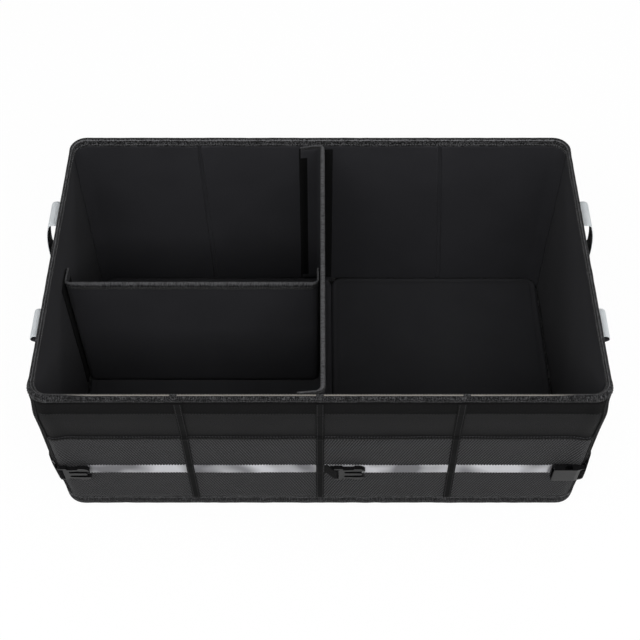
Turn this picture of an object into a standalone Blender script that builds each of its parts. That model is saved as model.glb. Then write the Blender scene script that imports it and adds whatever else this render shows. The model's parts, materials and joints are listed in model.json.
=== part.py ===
"""Collapsible fabric organizer for a car boot, in metres with +Z up.

The origin is on the floor, under the middle of the box. +X is to the right and the pocket wall faces -Y.
Every wall is a sandwich of outer fabric, a stiffener board and a lining. The front and rear walls lean out a little,
so each piece of the shell is drawn with upright walls first, and lean_out() then tips it.
"""

import math

import bmesh
import bpy
from mathutils import Matrix, Vector

# Whole box: outer faces of the outer fabric, at the floor
WIDTH = 0.600
DEPTH = 0.345
HEIGHT = 0.250
RIM_FLARE = 0.012  # how far the front and the rear rim stand out past the floor
CORNER_RADIUS = 0.020

# Layers of a wall, from the outside in
FABRIC = 0.001
BOARD = 0.002
LINING = 0.0006
CLEARANCE = 0.0003  # air between pieces that lie on each other
SEAM_GAP = 0.0004  # air between two panels that meet edge to edge
BOARD_EDGE = 0.003  # a board ends this far from the floor fabric and the rim
BOARD_INSET = FABRIC + CLEARANCE
LINING_INSET = BOARD_INSET + BOARD + CLEARANCE
WALL = LINING_INSET + LINING

# Fold seams, where the front and the rear wall hinge on their cloth when the box is put away
FOLD_PITCH = 0.150
FOLD_X = (-FOLD_PITCH, 0.0, FOLD_PITCH)
FOLD_GAP = 0.008
LINING_DIP = 0.0012
PANEL_DIP = 0.001

# Bindings
RIM_TAPE = 0.0008
RIM_LEG = 0.013
FOOT_TAPE = 0.001
FOOT_LEG = 0.015
FOOT_LIP = 0.008
FOOT_ROUND = 0.0016

# Floor pads
PAD = 0.005
PAD_GAP = 0.0042
PAD_RADIUS = 0.014
PAD_SPLIT_X = 0.0155
PAD_SPLIT = 0.0008
PAD_SOFT_EDGE = 0.0012

# Dividers
DIVIDER = 0.003
DIVIDER_BEND = 0.010
DIVIDER_TAPE = 0.0007
DIVIDER_LEG = 0.009
FLANGE = 0.028
CENTER_X = 0.003
CENTER_DROP = 0.002  # divider tops below the rim
CROSS_Y = 0.0
CROSS_DROP = 0.048

# Hook-and-loop strips between the dividers and the walls
GRIP = 0.0012
HOOK_STRIP = FLANGE - DIVIDER_BEND - DIVIDER / 2  # on the flat of a flange, short of the bend
LOOP_STRIP = 0.034
LOOP_OVERHANG = 0.002

# Pocket layers on the front wall, heights along the wall
MESH = 0.001
MESH_TOP = 0.162
WRAP_DEG = 42.0  # how far the pocket cloth runs into each corner
HEM = 0.0008
HEM_HEIGHT = 0.007
STRIPE = 0.0005
STRIPE_LOW = 0.079
STRIPE_HEIGHT = 0.020
STRIPE_END = 0.020
FRONT_GRIP = 0.001
FRONT_GRIP_HEIGHT = 0.0225
TAPE = 0.0008
TAPE_WIDTH = 0.009
TAPE_PITCH = 0.148
TAPE_STEP = 0.0015

# Side-release buckles and their webbing
BUCKLE_Z = 0.092
BUCKLE_OFF_WALL = 0.0075
BUCKLE_WIDTH = 0.026
BUCKLE_LENGTH = 0.0335
BUCKLE_BASE = 0.0045  # solid part between the webbing slot and the arms or the socket
BARB_SHARE = 0.45  # where along the arms the barbs begin
BARB_RAMP = 0.002
ARM_GAP = 0.0018  # root of the slits beside the guide
ARM_LEAN = 0.0004
GUIDE_SHORT = 0.0055  # the guide ends this far behind the arm tips
RAIL_ROUND = 0.0012
SHOULDER_ROUND = 0.0015
BARB_ROUND = 0.007
TIP_ROUND = 0.0015
MALE_SOFT_EDGE = 0.0004
FEMALE_SOFT_EDGE = 0.0008
LEFT_BAR_INSET = 0.009  # from the side wall's outer face
CENTER_BAR_X = 0.017
RIGHT_BAR_INSET = 0.006
BAR_RADIUS = 0.0015
BAR_PLAY = 0.0004
WEBBING = 0.0012
WEBBING_WIDTH = 0.020
WEBBING_PLAY = 0.0005
SLOT_PLAY = 0.0008
MALE_THICKNESS = 0.0046
SOCKET_PLAY = 0.0004
SOCKET_WALL = 0.0012
ARM_WIDTH = 0.0035
BARB = 0.0028
GUIDE_HALF = 0.0026
WINDOW_INSET = 0.004  # from the socket's blind end to its side windows
RAIL_SKIN = 0.0004  # plastic over the bar on the socket half
NECK_RISE = 0.0008  # how much thicker the slot's far side is than its rails
MOUTH_ROUND = 0.001
SIDE_TAIL = 0.025  # webbing sewn down on the side wall
CENTER_TAIL = 0.004
EYE_CLOSE_DEG = 30.0

# Carrying handles on the side walls
HANDLE = 0.0016
HANDLE_WIDTH = 0.038
HANDLE_LEG_Y = 0.079
HANDLE_DROP = 0.024  # folds below the rim
HANDLE_PATCH = 0.020
HANDLE_LEG = 0.061
HANDLE_SAG = 0.050
REAR_FOLD = 0.0065
FRONT_FOLD = 0.0042
FOLD_HEIGHT = 0.0062
REAR_BULGE = 0.0055
FRONT_TUCK = 0.0010
SWING_STEPS = 4
REAR_TWIST = 0.12

ARC_STEPS = 8
TOUCH = 1e-6
WELD = 1e-6


for old in list(bpy.data.objects):
    bpy.data.objects.remove(old, do_unlink=True)

parts = bpy.data.collections.new("car_organizer")
cutters = bpy.data.collections.new("cutters")
bpy.context.scene.collection.children.link(parts)
bpy.context.scene.collection.children.link(cutters)


def material(name, colour, roughness, metallic=0.0):
    made = bpy.data.materials.new(name)
    made.use_nodes = True
    shader = made.node_tree.nodes["Principled BSDF"]
    shader.inputs["Base Color"].default_value = (*colour, 1.0)
    shader.inputs["Roughness"].default_value = roughness
    shader.inputs["Metallic"].default_value = metallic
    return made


OXFORD = material("oxford_cloth", (0.022, 0.022, 0.024), 0.85)
LINING_CLOTH = material("lining_cloth", (0.012, 0.013, 0.015), 0.8)
STIFFENER = material("stiffener_board", (0.30, 0.28, 0.25), 0.7)
KNIT_TAPE = material("knit_tape", (0.045, 0.045, 0.047), 0.95)
NET = material("pocket_net", (0.05, 0.05, 0.055), 0.9)
GRIP_TAPE = material("hook_and_loop_tape", (0.014, 0.014, 0.015), 1.0)
REFLECTIVE = material("reflective_tape", (0.62, 0.63, 0.66), 0.35, 0.2)
DARK_WEBBING = material("dark_webbing", (0.02, 0.02, 0.021), 0.85)
GREY_WEBBING = material("grey_webbing", (0.50, 0.52, 0.54), 0.6)
MOULDED = material("moulded_plastic", (0.02, 0.02, 0.022), 0.35)


def add_object(name, data, look, collection=parts):
    made = bpy.data.objects.new(name, data)
    if look:
        data.materials.append(look)
    collection.objects.link(made)
    return made


def lean_out(mesh):
    """Tip the front half toward -Y and the rear half toward +Y, in proportion to height."""
    for vertex in mesh.vertices:
        if abs(vertex.co.y) > TOUCH:
            vertex.co.y += math.copysign(RIM_FLARE * vertex.co.z / HEIGHT, vertex.co.y)


def arc(center, radius, start_deg, end_deg, steps=ARC_STEPS):
    points = []
    for i in range(steps + 1):
        angle = math.radians(start_deg + (end_deg - start_deg) * i / steps)
        points.append((center[0] + radius * math.cos(angle), center[1] + radius * math.sin(angle)))
    return points


def turned(points):
    """The same plan path on the opposite wall: half a turn about the vertical axis."""
    return [(-x, -y) for x, y in points]


def front_path(inset, reach_deg=90.0, dip=0.0):
    """Plan path along the front wall from the left corner to the right one, inset from the outer face.

    A positive dip presses the fold seams away from the middle of the box, a negative one toward it.
    """
    cx = WIDTH / 2 - CORNER_RADIUS
    cy = -DEPTH / 2 + CORNER_RADIUS
    radius = CORNER_RADIUS - inset
    path = arc((-cx, cy), radius, 270.0 - reach_deg, 270.0)
    if dip:
        for fold_x in FOLD_X:
            for i in range(ARC_STEPS + 1):
                part_way = i / ARC_STEPS
                depth = dip * (1 - math.cos(2 * math.pi * part_way)) / 2
                path.append((fold_x + FOLD_GAP * (part_way - 0.5), cy - radius - depth))
    return path + arc((cx, cy), radius, 270.0, 270.0 + reach_deg)


def loop_path(inset):
    """Closed plan path round the whole box."""
    front = front_path(inset)
    return front + turned(front)


def standing_strip(name, path, low, high, thickness, look, middle=False, lean=True):
    """Cloth or board standing on a plan path: an extruded line, made thick on its left side or about its middle."""
    bm = bmesh.new()
    foot = [bm.verts.new((x, y, low)) for x, y in path]
    edges = [bm.edges.new(pair) for pair in zip(foot, foot[1:])]
    raised = bmesh.ops.extrude_edge_only(bm, edges=edges)["geom"]
    tops = [item for item in raised if isinstance(item, bmesh.types.BMVert)]
    bmesh.ops.translate(bm, verts=tops, vec=(0, 0, high - low))
    bmesh.ops.recalc_face_normals(bm, faces=bm.faces)
    run = foot[1].co - foot[0].co
    if edges[0].link_faces[0].normal.dot(run.cross(Vector((0, 0, 1)))) < 0:
        bmesh.ops.reverse_faces(bm, faces=bm.faces)
    mesh = bpy.data.meshes.new(name)
    bm.to_mesh(mesh)
    bm.free()
    if lean:
        lean_out(mesh)
    made = add_object(name, mesh, look)
    solid = made.modifiers.new("thickness", "SOLIDIFY")
    solid.thickness = thickness
    solid.offset = 0.0 if middle else -1.0
    solid.use_even_offset = True
    return made


def box_mesh(name, low, high):
    """A cube stretched between two corners."""
    mesh = bpy.data.meshes.new(name)
    bm = bmesh.new()
    bmesh.ops.create_cube(bm, size=1.0)
    size = Vector(high) - Vector(low)
    bmesh.ops.scale(bm, verts=bm.verts, vec=size)
    bmesh.ops.translate(bm, verts=bm.verts, vec=Vector(low) + size / 2)
    bm.to_mesh(mesh)
    bm.free()
    return mesh


def slab(name, low, high, look):
    """A flat board between two corners, tipped with its wall."""
    mesh = box_mesh(name, low, high)
    lean_out(mesh)
    return add_object(name, mesh, look)


def curve_data(name, loops, cyclic=True):
    curve = bpy.data.curves.new(name, "CURVE")
    curve.dimensions = "2D"
    curve.fill_mode = "BOTH"
    curve.render_resolution_u = 0
    for loop in loops:
        spline = curve.splines.new("POLY")
        spline.points.add(len(loop) - 1)
        for point, (x, y) in zip(spline.points, loop):
            point.co = (x, y, 0.0, 1.0)
        spline.use_cyclic_u = cyclic
    return curve


def mesh_from_curve(name, curve):
    """The curve's evaluated shape as one welded mesh."""
    holder = add_object(name + "_curve", curve, None, cutters)
    bpy.context.view_layer.update()
    evaluated = holder.evaluated_get(bpy.context.evaluated_depsgraph_get())
    mesh = bpy.data.meshes.new_from_object(evaluated)
    bpy.data.objects.remove(holder, do_unlink=True)
    bm = bmesh.new()
    bm.from_mesh(mesh)
    bmesh.ops.remove_doubles(bm, verts=bm.verts, dist=WELD)
    bmesh.ops.recalc_face_normals(bm, faces=bm.faces)
    bm.to_mesh(mesh)
    bm.free()
    mesh.name = name
    return mesh


def plate_mesh(name, loops, thickness):
    """A flat outline, with its holes, extruded evenly about its own plane."""
    curve = curve_data(name, loops)
    curve.extrude = thickness / 2
    return mesh_from_curve(name, curve)


def swept_tape(name, path, section, look, cyclic, lean=True):
    """A bent tape: its section, drawn as (right of the path, height), run along a plan path."""
    section_curve = curve_data(name + "_section", [section])
    holder = add_object(name + "_section", section_curve, None, cutters)
    curve = curve_data(name, [path], cyclic)
    curve.dimensions = "3D"
    curve.fill_mode = "FULL"
    curve.twist_mode = "Z_UP"
    curve.bevel_mode = "OBJECT"
    curve.bevel_object = holder
    curve.use_fill_caps = not cyclic
    mesh = mesh_from_curve(name, curve)
    bpy.data.objects.remove(holder, do_unlink=True)
    if lean:
        lean_out(mesh)
    return add_object(name, mesh, look)


def channel_section(inner_width, tape, leg, top):
    """An upside-down U that hooks over a square edge, with soft shoulders and its top at the given height."""
    half = inner_width / 2
    outer_half = half + tape
    outer_soft = 2 * tape
    inner_soft = tape / 4
    outer = arc((outer_half - outer_soft, top - outer_soft), outer_soft, 0.0, 90.0, 4)
    outer += [(-x, z) for x, z in reversed(outer)]
    inner = arc((half - inner_soft, top - tape - inner_soft), inner_soft, 0.0, 90.0, 2)
    inner = [(-x, z) for x, z in inner] + inner[::-1]
    foot = top - leg
    return [(outer_half, foot)] + outer + [(-outer_half, foot), (-half, foot)] + inner + [(half, foot)]


def soft_edges(made, width, segments=2, angle_deg=40.0):
    bevel = made.modifiers.new("soft_edges", "BEVEL")
    bevel.width = width
    bevel.segments = segments
    bevel.limit_method = "ANGLE"
    bevel.angle_limit = math.radians(angle_deg)
    return bevel


def as_cutter(made):
    made.hide_render = True
    made.display_type = "WIRE"
    return made


def cut_or_join(made, other, operation):
    boolean = made.modifiers.new(operation.lower(), "BOOLEAN")
    boolean.operation = operation
    boolean.solver = "EXACT"
    boolean.object = other


# Walls

RIM_FOOT = HEIGHT - RIM_LEG
LOW = FOOT_TAPE + CLEARANCE
FABRIC_TOP = HEIGHT - RIM_TAPE - CLEARANCE
BOARD_LOW = LOW + BOARD_EDGE
BOARD_TOP = FABRIC_TOP - BOARD_EDGE
SIDE_HALF = DEPTH / 2 - CORNER_RADIUS - SEAM_GAP


def make_outer_fabric():
    standing_strip("front_panel", front_path(0.0), LOW, FABRIC_TOP, FABRIC, OXFORD)
    rear = turned(front_path(0.0, dip=-PANEL_DIP))
    standing_strip("rear_panel", rear, LOW, FABRIC_TOP, FABRIC, OXFORD)
    for name, x in (("left_panel", -WIDTH / 2), ("right_panel", WIDTH / 2)):
        run = math.copysign(SIDE_HALF, x)
        standing_strip(name, [(x, -run), (x, run)], LOW, FABRIC_TOP, FABRIC, OXFORD)
    floor_inset = FOOT_LIP + CLEARANCE
    floor = plate_mesh("bottom_panel", [loop_path(floor_inset)], FABRIC)
    add_object("bottom_panel", floor, OXFORD).location.z = FABRIC / 2


def make_boards():
    """Stiffeners stop at the fold seams and short of the rounded corners, where the walls are cloth alone."""
    corner_x = WIDTH / 2 - CORNER_RADIUS - CLEARANCE
    stops = [-corner_x]
    for fold_x in FOLD_X:
        stops += [fold_x - FOLD_GAP / 2, fold_x + FOLD_GAP / 2]
    stops.append(corner_x)
    outer = DEPTH / 2 - BOARD_INSET
    for i in range(len(stops) // 2):
        left, right = stops[2 * i], stops[2 * i + 1]
        front = (left, -outer, BOARD_LOW), (right, -outer + BOARD, BOARD_TOP)
        rear = (left, outer - BOARD, BOARD_LOW), (right, outer, BOARD_TOP)
        slab(f"front_board_{i + 1}", *front, STIFFENER)
        slab(f"rear_board_{i + 1}", *rear, STIFFENER)
    side = WIDTH / 2 - BOARD_INSET
    slab("left_board", (-side, -SIDE_HALF, BOARD_LOW), (-side + BOARD, SIDE_HALF, BOARD_TOP), STIFFENER)
    slab("right_board", (side - BOARD, -SIDE_HALF, BOARD_LOW), (side, SIDE_HALF, BOARD_TOP), STIFFENER)


def make_lining():
    front = front_path(LINING_INSET, dip=LINING_DIP)
    standing_strip("front_lining", front, LOW, FABRIC_TOP, LINING, LINING_CLOTH)
    standing_strip("rear_lining", turned(front), LOW, FABRIC_TOP, LINING, LINING_CLOTH)
    for name, x in (("left_lining", -WIDTH / 2 + LINING_INSET), ("right_lining", WIDTH / 2 - LINING_INSET)):
        run = math.copysign(SIDE_HALF, x)
        standing_strip(name, [(x, -run), (x, run)], LOW, FABRIC_TOP, LINING, LINING_CLOTH)


def make_bindings():
    """The rim tape hooks over the wall's top edge, and the foot tape turns under the outer fabric."""
    rim = channel_section(WALL + 2 * CLEARANCE, RIM_TAPE, RIM_LEG, HEIGHT)
    swept_tape("rim_binding", loop_path(WALL / 2), rim, KNIT_TAPE, cyclic=True)
    out = CLEARANCE + FOOT_TAPE
    round_foot = arc((out - FOOT_ROUND, FOOT_ROUND), FOOT_ROUND, 0.0, -90.0, 4)
    foot = [(out, FOOT_LEG)] + round_foot + [(-FOOT_LIP, 0.0), (-FOOT_LIP, FOOT_TAPE)]
    foot += [(CLEARANCE, FOOT_TAPE), (CLEARANCE, FOOT_LEG)]
    swept_tape("bottom_binding", loop_path(0.0), foot, KNIT_TAPE, cyclic=True)


# Floor pads

PAD_LOW = FABRIC + CLEARANCE
PAD_TOP = PAD_LOW + PAD


def rounded_box(left, right, front, rear, radius):
    low_x, high_x = left + radius, right - radius
    low_y, high_y = front + radius, rear - radius
    corners = arc((low_x, low_y), radius, 180.0, 270.0) + arc((high_x, low_y), radius, 270.0, 360.0)
    return corners + arc((high_x, high_y), radius, 0.0, 90.0) + arc((low_x, high_y), radius, 90.0, 180.0)


def make_pads():
    """Two padded floor boards. The box folds flat between them, just beside the center divider."""
    side = WIDTH / 2 - WALL - PAD_GAP
    rear = DEPTH / 2 - WALL - PAD_GAP / 2
    spans = {
        "base_pad_left": (-side, PAD_SPLIT_X - PAD_SPLIT / 2),
        "base_pad_right": (PAD_SPLIT_X + PAD_SPLIT / 2, side),
    }
    for name, (left, right) in spans.items():
        mesh = plate_mesh(name, [rounded_box(left, right, -rear, rear, PAD_RADIUS)], PAD)
        made = add_object(name, mesh, LINING_CLOTH)
        made.location.z = PAD_LOW + PAD / 2
        soft_edges(made, PAD_SOFT_EDGE)


# Dividers

DIVIDER_LOW = PAD_TOP + CLEARANCE
CENTER_TOP = HEIGHT - CENTER_DROP
CROSS_TOP = HEIGHT - CROSS_DROP
GRIP_STACK = 2 * GRIP + 3 * CLEARANCE  # lining to divider: two strips and the air round them
INNER_X = WIDTH / 2 - WALL
INNER_Y = DEPTH / 2 - WALL
FLANGE_Y = INNER_Y - GRIP_STACK - DIVIDER / 2
CROSS_LEFT_X = -INNER_X + GRIP_STACK + DIVIDER / 2
CROSS_RIGHT_X = CENTER_X - DIVIDER / 2 - GRIP_STACK - DIVIDER / 2


def bent_ends(start, end, tip_start, tip_end):
    """Plan path of a divider: a flange, a rounded bend, the panel, a rounded bend, and a flange.

    start and end are the two sharp corners, and each tip is where that corner's flange ends.
    """
    path = []
    for corner, tip, other in ((start, tip_start, end), (end, tip_end, start)):
        corner, tip, other = Vector(corner), Vector(tip), Vector(other)
        along_flange = (tip - corner).normalized()
        along_panel = (other - corner).normalized()
        middle = corner + DIVIDER_BEND * (along_flange + along_panel)
        bend = [tip]
        for i in range(ARC_STEPS + 1):
            angle = math.pi / 2 * i / ARC_STEPS
            bend.append(middle - DIVIDER_BEND * (math.cos(angle) * along_panel + math.sin(angle) * along_flange))
        path += bend if corner == Vector(start) else bend[::-1]
    return [tuple(point) for point in path]


def center_path():
    tip_x = CENTER_X + DIVIDER / 2 - FLANGE
    rear, front = (CENTER_X, FLANGE_Y), (CENTER_X, -FLANGE_Y)
    return bent_ends(rear, front, (tip_x, FLANGE_Y), (tip_x, -FLANGE_Y))


def cross_path():
    tip_y = CROSS_Y - DIVIDER / 2 + FLANGE
    left, right = (CROSS_LEFT_X, CROSS_Y), (CROSS_RIGHT_X, CROSS_Y)
    return bent_ends(left, right, (CROSS_LEFT_X, tip_y), (CROSS_RIGHT_X, tip_y))


def make_divider(name, path, top, lean):
    panel_top = top - DIVIDER_TAPE - CLEARANCE
    standing_strip(name, path, DIVIDER_LOW, panel_top, DIVIDER, OXFORD, middle=True, lean=lean)
    hook_over = channel_section(DIVIDER + 2 * CLEARANCE, DIVIDER_TAPE, DIVIDER_LEG, top)
    swept_tape(name + "_binding", path, hook_over, KNIT_TAPE, cyclic=False, lean=lean)


def make_center_grips():
    """Loop strips sewn to the front and rear lining, and hook strips on the backs of the flanges."""
    low = DIVIDER_LOW
    high = RIM_FOOT - CLEARANCE
    loop_right = CENTER_X + DIVIDER / 2 - FLANGE - LOOP_OVERHANG + LOOP_STRIP
    loop_left = loop_right - LOOP_STRIP
    hook_left = CENTER_X + DIVIDER / 2 - FLANGE
    hook_right = hook_left + HOOK_STRIP
    loop_y = INNER_Y - CLEARANCE
    hook_y = loop_y - GRIP - CLEARANCE
    for name, left, right, y in (
        ("center_loop", loop_left, loop_right, loop_y),
        ("center_hook", hook_left, hook_right, hook_y),
    ):
        slab(name + "_front", (left, -y, low), (right, -y + GRIP, high), GRIP_TAPE)
        slab(name + "_rear", (left, y - GRIP, low), (right, y, high), GRIP_TAPE)


def make_cross_grips():
    low = DIVIDER_LOW
    high = CROSS_TOP - DIVIDER_LEG - CLEARANCE
    tip_y = CROSS_Y - DIVIDER / 2 + FLANGE
    loop_span = (tip_y + LOOP_OVERHANG - LOOP_STRIP, tip_y + LOOP_OVERHANG)
    hook_span = (tip_y - HOOK_STRIP, tip_y)
    wall_x = -INNER_X + CLEARANCE
    divider_x = CENTER_X - DIVIDER / 2 - CLEARANCE
    step = GRIP + CLEARANCE
    for name, x in (
        ("cross_loop_left", wall_x),
        ("cross_hook_left", wall_x + step),
        ("cross_hook_right", divider_x - GRIP - step),
        ("cross_loop_right", divider_x - GRIP),
    ):
        front, rear = loop_span if "loop" in name else hook_span
        path = [(x, front), (x, rear)]
        standing_strip(name, path, low, high, GRIP, GRIP_TAPE, lean=False).location.x = GRIP


# Pocket wall

POCKET_LOW = FOOT_LEG + CLEARANCE
HEM_LOW = MESH_TOP - HEM_HEIGHT
STRIPE_TOP = STRIPE_LOW + STRIPE_HEIGHT
FRONT_GRIP_TOP = RIM_FOOT - CLEARANCE
FRONT_GRIP_LOW = FRONT_GRIP_TOP - FRONT_GRIP_HEIGHT
TAPE_TOP = FRONT_GRIP_TOP
ON_WALL = CLEARANCE
ON_MESH = ON_WALL + MESH + CLEARANCE


def make_pocket_layers():
    """The net pocket with its hem and reflective stripe, and the hook-and-loop band above it."""
    mesh_path = front_path(-ON_WALL - MESH, WRAP_DEG)
    standing_strip("pocket_mesh", mesh_path, POCKET_LOW, MESH_TOP, MESH, NET)
    hem_path = front_path(-ON_MESH - HEM, WRAP_DEG)
    standing_strip("pocket_hem", hem_path, HEM_LOW, MESH_TOP, HEM, KNIT_TAPE)
    grip_path = front_path(-ON_WALL - FRONT_GRIP, WRAP_DEG)
    standing_strip("front_grip_band", grip_path, FRONT_GRIP_LOW, FRONT_GRIP_TOP, FRONT_GRIP, GRIP_TAPE)
    reach = WIDTH / 2 - CORNER_RADIUS - STRIPE_END
    y = -DEPTH / 2 - ON_MESH
    stripe = (-reach, y - STRIPE, STRIPE_LOW), (reach, y, STRIPE_TOP)
    slab("reflective_strip", *stripe, REFLECTIVE)


def tape_profile():
    """(height, distance off the wall) of the back of an upright tape as it climbs over the layers under it."""
    over_mesh = ON_MESH
    over_stripe = ON_MESH + STRIPE + CLEARANCE
    over_hem = ON_MESH + HEM + CLEARANCE
    over_grip = ON_WALL + FRONT_GRIP + CLEARANCE
    return [
        (POCKET_LOW, over_mesh),
        (STRIPE_LOW - TAPE_STEP, over_mesh),
        (STRIPE_LOW, over_stripe),
        (STRIPE_TOP, over_stripe),
        (STRIPE_TOP + TAPE_STEP, over_mesh),
        (HEM_LOW - TAPE_STEP, over_mesh),
        (HEM_LOW, over_hem),
        (MESH_TOP, over_hem),
        (MESH_TOP + TAPE_STEP, ON_WALL),
        (FRONT_GRIP_LOW - TAPE_STEP, ON_WALL),
        (FRONT_GRIP_LOW, over_grip),
        (TAPE_TOP, over_grip),
    ]


def make_upright_tape(name, x):
    profile = tape_profile()
    outer = [(z, off + TAPE) for z, off in profile]
    outline = [(off, z) for z, off in profile] + [(off, z) for z, off in reversed(outer)]
    mesh = plate_mesh(name, [outline], TAPE_WIDTH)
    # The outline is drawn as (off the wall, height): stand it up, facing -Y.
    mesh.transform(Matrix(((0, 0, -1, 0), (-1, 0, 0, -DEPTH / 2), (0, 1, 0, 0), (0, 0, 0, 1))))
    lean_out(mesh)
    add_object(name, mesh, DARK_WEBBING).location.x = x


def make_corner_tape(name, turn):
    """A tape that closes the end of the pocket, lying in the rounded corner beside the net."""
    radius = CORNER_RADIUS + ON_WALL + TAPE
    start = WRAP_DEG + math.degrees(SEAM_GAP / radius)
    end = start + math.degrees(TAPE_WIDTH / radius)
    center = (math.copysign(WIDTH / 2 - CORNER_RADIUS, turn), -DEPTH / 2 + CORNER_RADIUS)
    low_angle, high_angle = sorted((270.0 + turn * start, 270.0 + turn * end))
    path = arc(center, radius, low_angle, high_angle)
    standing_strip(name, path, POCKET_LOW, TAPE_TOP, TAPE, DARK_WEBBING)


def make_tapes():
    make_corner_tape("pocket_tape_1", -1)
    make_upright_tape("pocket_tape_2", -TAPE_PITCH)
    make_upright_tape("pocket_tape_3", 0.0)
    make_upright_tape("pocket_tape_4", TAPE_PITCH)
    make_corner_tape("pocket_tape_5", 1)


# Buckles

EYE_RADIUS = BAR_RADIUS + BAR_PLAY + WEBBING / 2
SLOT_HALF = WEBBING_WIDTH / 2 + WEBBING_PLAY
SLOT_END = BAR_RADIUS + BAR_PLAY + WEBBING + SLOT_PLAY
ARM_ROOT = SLOT_END + BUCKLE_BASE
HALF_WIDTH = BUCKLE_WIDTH / 2
BARB_BACK = ARM_ROOT + BARB_SHARE * (BUCKLE_LENGTH - ARM_ROOT)
BAR_LENGTH = SLOT_HALF + HALF_WIDTH  # each end stops in the middle of a rail
THROUGH = 0.01  # how far a cutter passes the surface that it opens


def front_wall_frame():
    """An empty in the plane of the outer front fabric: its Z runs up the leaning wall."""
    frame = bpy.data.objects.new("front_wall_frame", None)
    parts.objects.link(frame)
    frame.location.y = -DEPTH / 2
    frame.rotation_euler.x = math.atan2(RIM_FLARE, HEIGHT)
    return frame


def bar_pivot(name, frame, bar_x, faces_left):
    """An empty on the hinge axis of a buckle: the middle of its bar, with Z along the bar."""
    pivot = bpy.data.objects.new(name, None)
    parts.objects.link(pivot)
    pivot.parent = frame
    pivot.location = (bar_x, -BUCKLE_OFF_WALL, BUCKLE_Z)
    if faces_left:
        pivot.rotation_euler.z = math.pi
    return pivot


def bar_cylinder(name, pivot):
    mesh = bpy.data.meshes.new(name)
    bm = bmesh.new()
    ends = {"radius1": BAR_RADIUS, "radius2": BAR_RADIUS, "depth": BAR_LENGTH}
    bmesh.ops.create_cone(bm, cap_ends=True, segments=2 * ARC_STEPS, **ends)
    bm.to_mesh(mesh)
    bm.free()
    bar = as_cutter(add_object(name, mesh, None, cutters))
    bar.parent = pivot
    return bar


def box_cutter(name, pivot, low, high):
    cutter = as_cutter(add_object(name, box_mesh(name, low, high), None, cutters))
    cutter.parent = pivot
    return cutter


def rounded(x, z, radius, start_deg, steps):
    """A quarter turn, clockwise, inside the outline's outer corner at x and z."""
    center = (x - radius if start_deg <= 90.0 else x + radius, z - radius)
    return arc(center, radius, start_deg, start_deg - 90.0, steps)


def male_outline():
    """Upper half of the prong half, from the strap rails round the barb to the guide, then mirrored."""
    tip = BUCKLE_LENGTH
    neck = HALF_WIDTH - BARB
    inner = neck - ARM_WIDTH
    slit = ARM_ROOT + ARM_GAP
    upper = [(-BAR_RADIUS, SLOT_HALF)]
    upper += rounded(-BAR_RADIUS, HALF_WIDTH, RAIL_ROUND, 180.0, 3)
    upper += rounded(ARM_ROOT, HALF_WIDTH, SHOULDER_ROUND, 90.0, 3)
    upper += [(ARM_ROOT + ARM_LEAN, neck), (BARB_BACK, neck + ARM_LEAN), (BARB_BACK + BARB_RAMP, HALF_WIDTH)]
    upper += arc((tip - BARB_ROUND, HALF_WIDTH - BARB_ROUND), BARB_ROUND, 75.0, 35.0, 4)
    upper += arc((tip - TIP_ROUND, inner + TIP_ROUND + ARM_LEAN), TIP_ROUND, 0.0, -90.0, 4)
    upper += [(BARB_BACK, inner + ARM_LEAN), (slit + RAIL_ROUND, inner)]
    upper += [(slit, inner - RAIL_ROUND), (slit, GUIDE_HALF + RAIL_ROUND), (slit + RAIL_ROUND, GUIDE_HALF)]
    upper += arc((tip - GUIDE_SHORT, 0.0), GUIDE_HALF - ARM_LEAN, 90.0, 0.0, 4)
    lower = [(x, -z) for x, z in reversed(upper)][1:]
    return upper + lower + [(SLOT_END, -SLOT_HALF), (SLOT_END, SLOT_HALF)]


def make_male(name, frame, bar_x):
    """The prong half: rails and bar for the webbing, two barbed spring arms and a guide, moulded in one."""
    pivot = bar_pivot(name + "_pivot", frame, bar_x, faces_left=False)
    mesh = plate_mesh(name, [male_outline()], MALE_THICKNESS)
    mesh.transform(Matrix.Rotation(math.pi / 2, 4, "X"))
    made = add_object(name, mesh, MOULDED)
    made.parent = pivot
    soft_edges(made, MALE_SOFT_EDGE, 1, 60.0)
    cut_or_join(made, bar_cylinder(name + "_bar", pivot), "UNION")


def make_female(name, frame, bar_x):
    """The socket half: a flat tube, open at the mouth and at both sides, where the barbs snap out."""
    pivot = bar_pivot(name + "_pivot", frame, bar_x, faces_left=True)
    socket_half = MALE_THICKNESS / 2 + SOCKET_PLAY
    half = socket_half + SOCKET_WALL
    rail = BAR_RADIUS + RAIL_SKIN
    mouth = BUCKLE_LENGTH
    upper = arc((RAIL_SKIN, 0.0), rail, 180.0, 90.0) + [(SLOT_END, rail + NECK_RISE)]
    upper += arc((ARM_ROOT, 0.0), half, 110.0, 90.0, 3) + rounded(mouth, half, MOUTH_ROUND, 90.0, 3)
    side_view = upper + [(x, -y) for x, y in reversed(upper)][:-1]
    mesh = plate_mesh(name, [side_view], BUCKLE_WIDTH)
    made = add_object(name, mesh, MOULDED)
    made.parent = pivot
    soft_edges(made, FEMALE_SOFT_EDGE, 2, 60.0)
    slot = (-THROUGH, -THROUGH, -SLOT_HALF), (SLOT_END, THROUGH, SLOT_HALF)
    cut_or_join(made, box_cutter(name + "_slot", pivot, *slot), "DIFFERENCE")
    socket_side = HALF_WIDTH - SOCKET_WALL
    socket = (ARM_ROOT, -socket_half, -socket_side), (mouth + THROUGH, socket_half, socket_side)
    cut_or_join(made, box_cutter(name + "_socket", pivot, *socket), "DIFFERENCE")
    side = HALF_WIDTH + THROUGH
    window = (ARM_ROOT + WINDOW_INSET, -socket_half, -side), (BARB_BACK + ARM_GAP, socket_half, side)
    cut_or_join(made, box_cutter(name + "_windows", pivot, *window), "DIFFERENCE")
    cut_or_join(made, bar_cylinder(name + "_bar", pivot), "UNION")


# Webbing that carries the buckles

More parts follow.
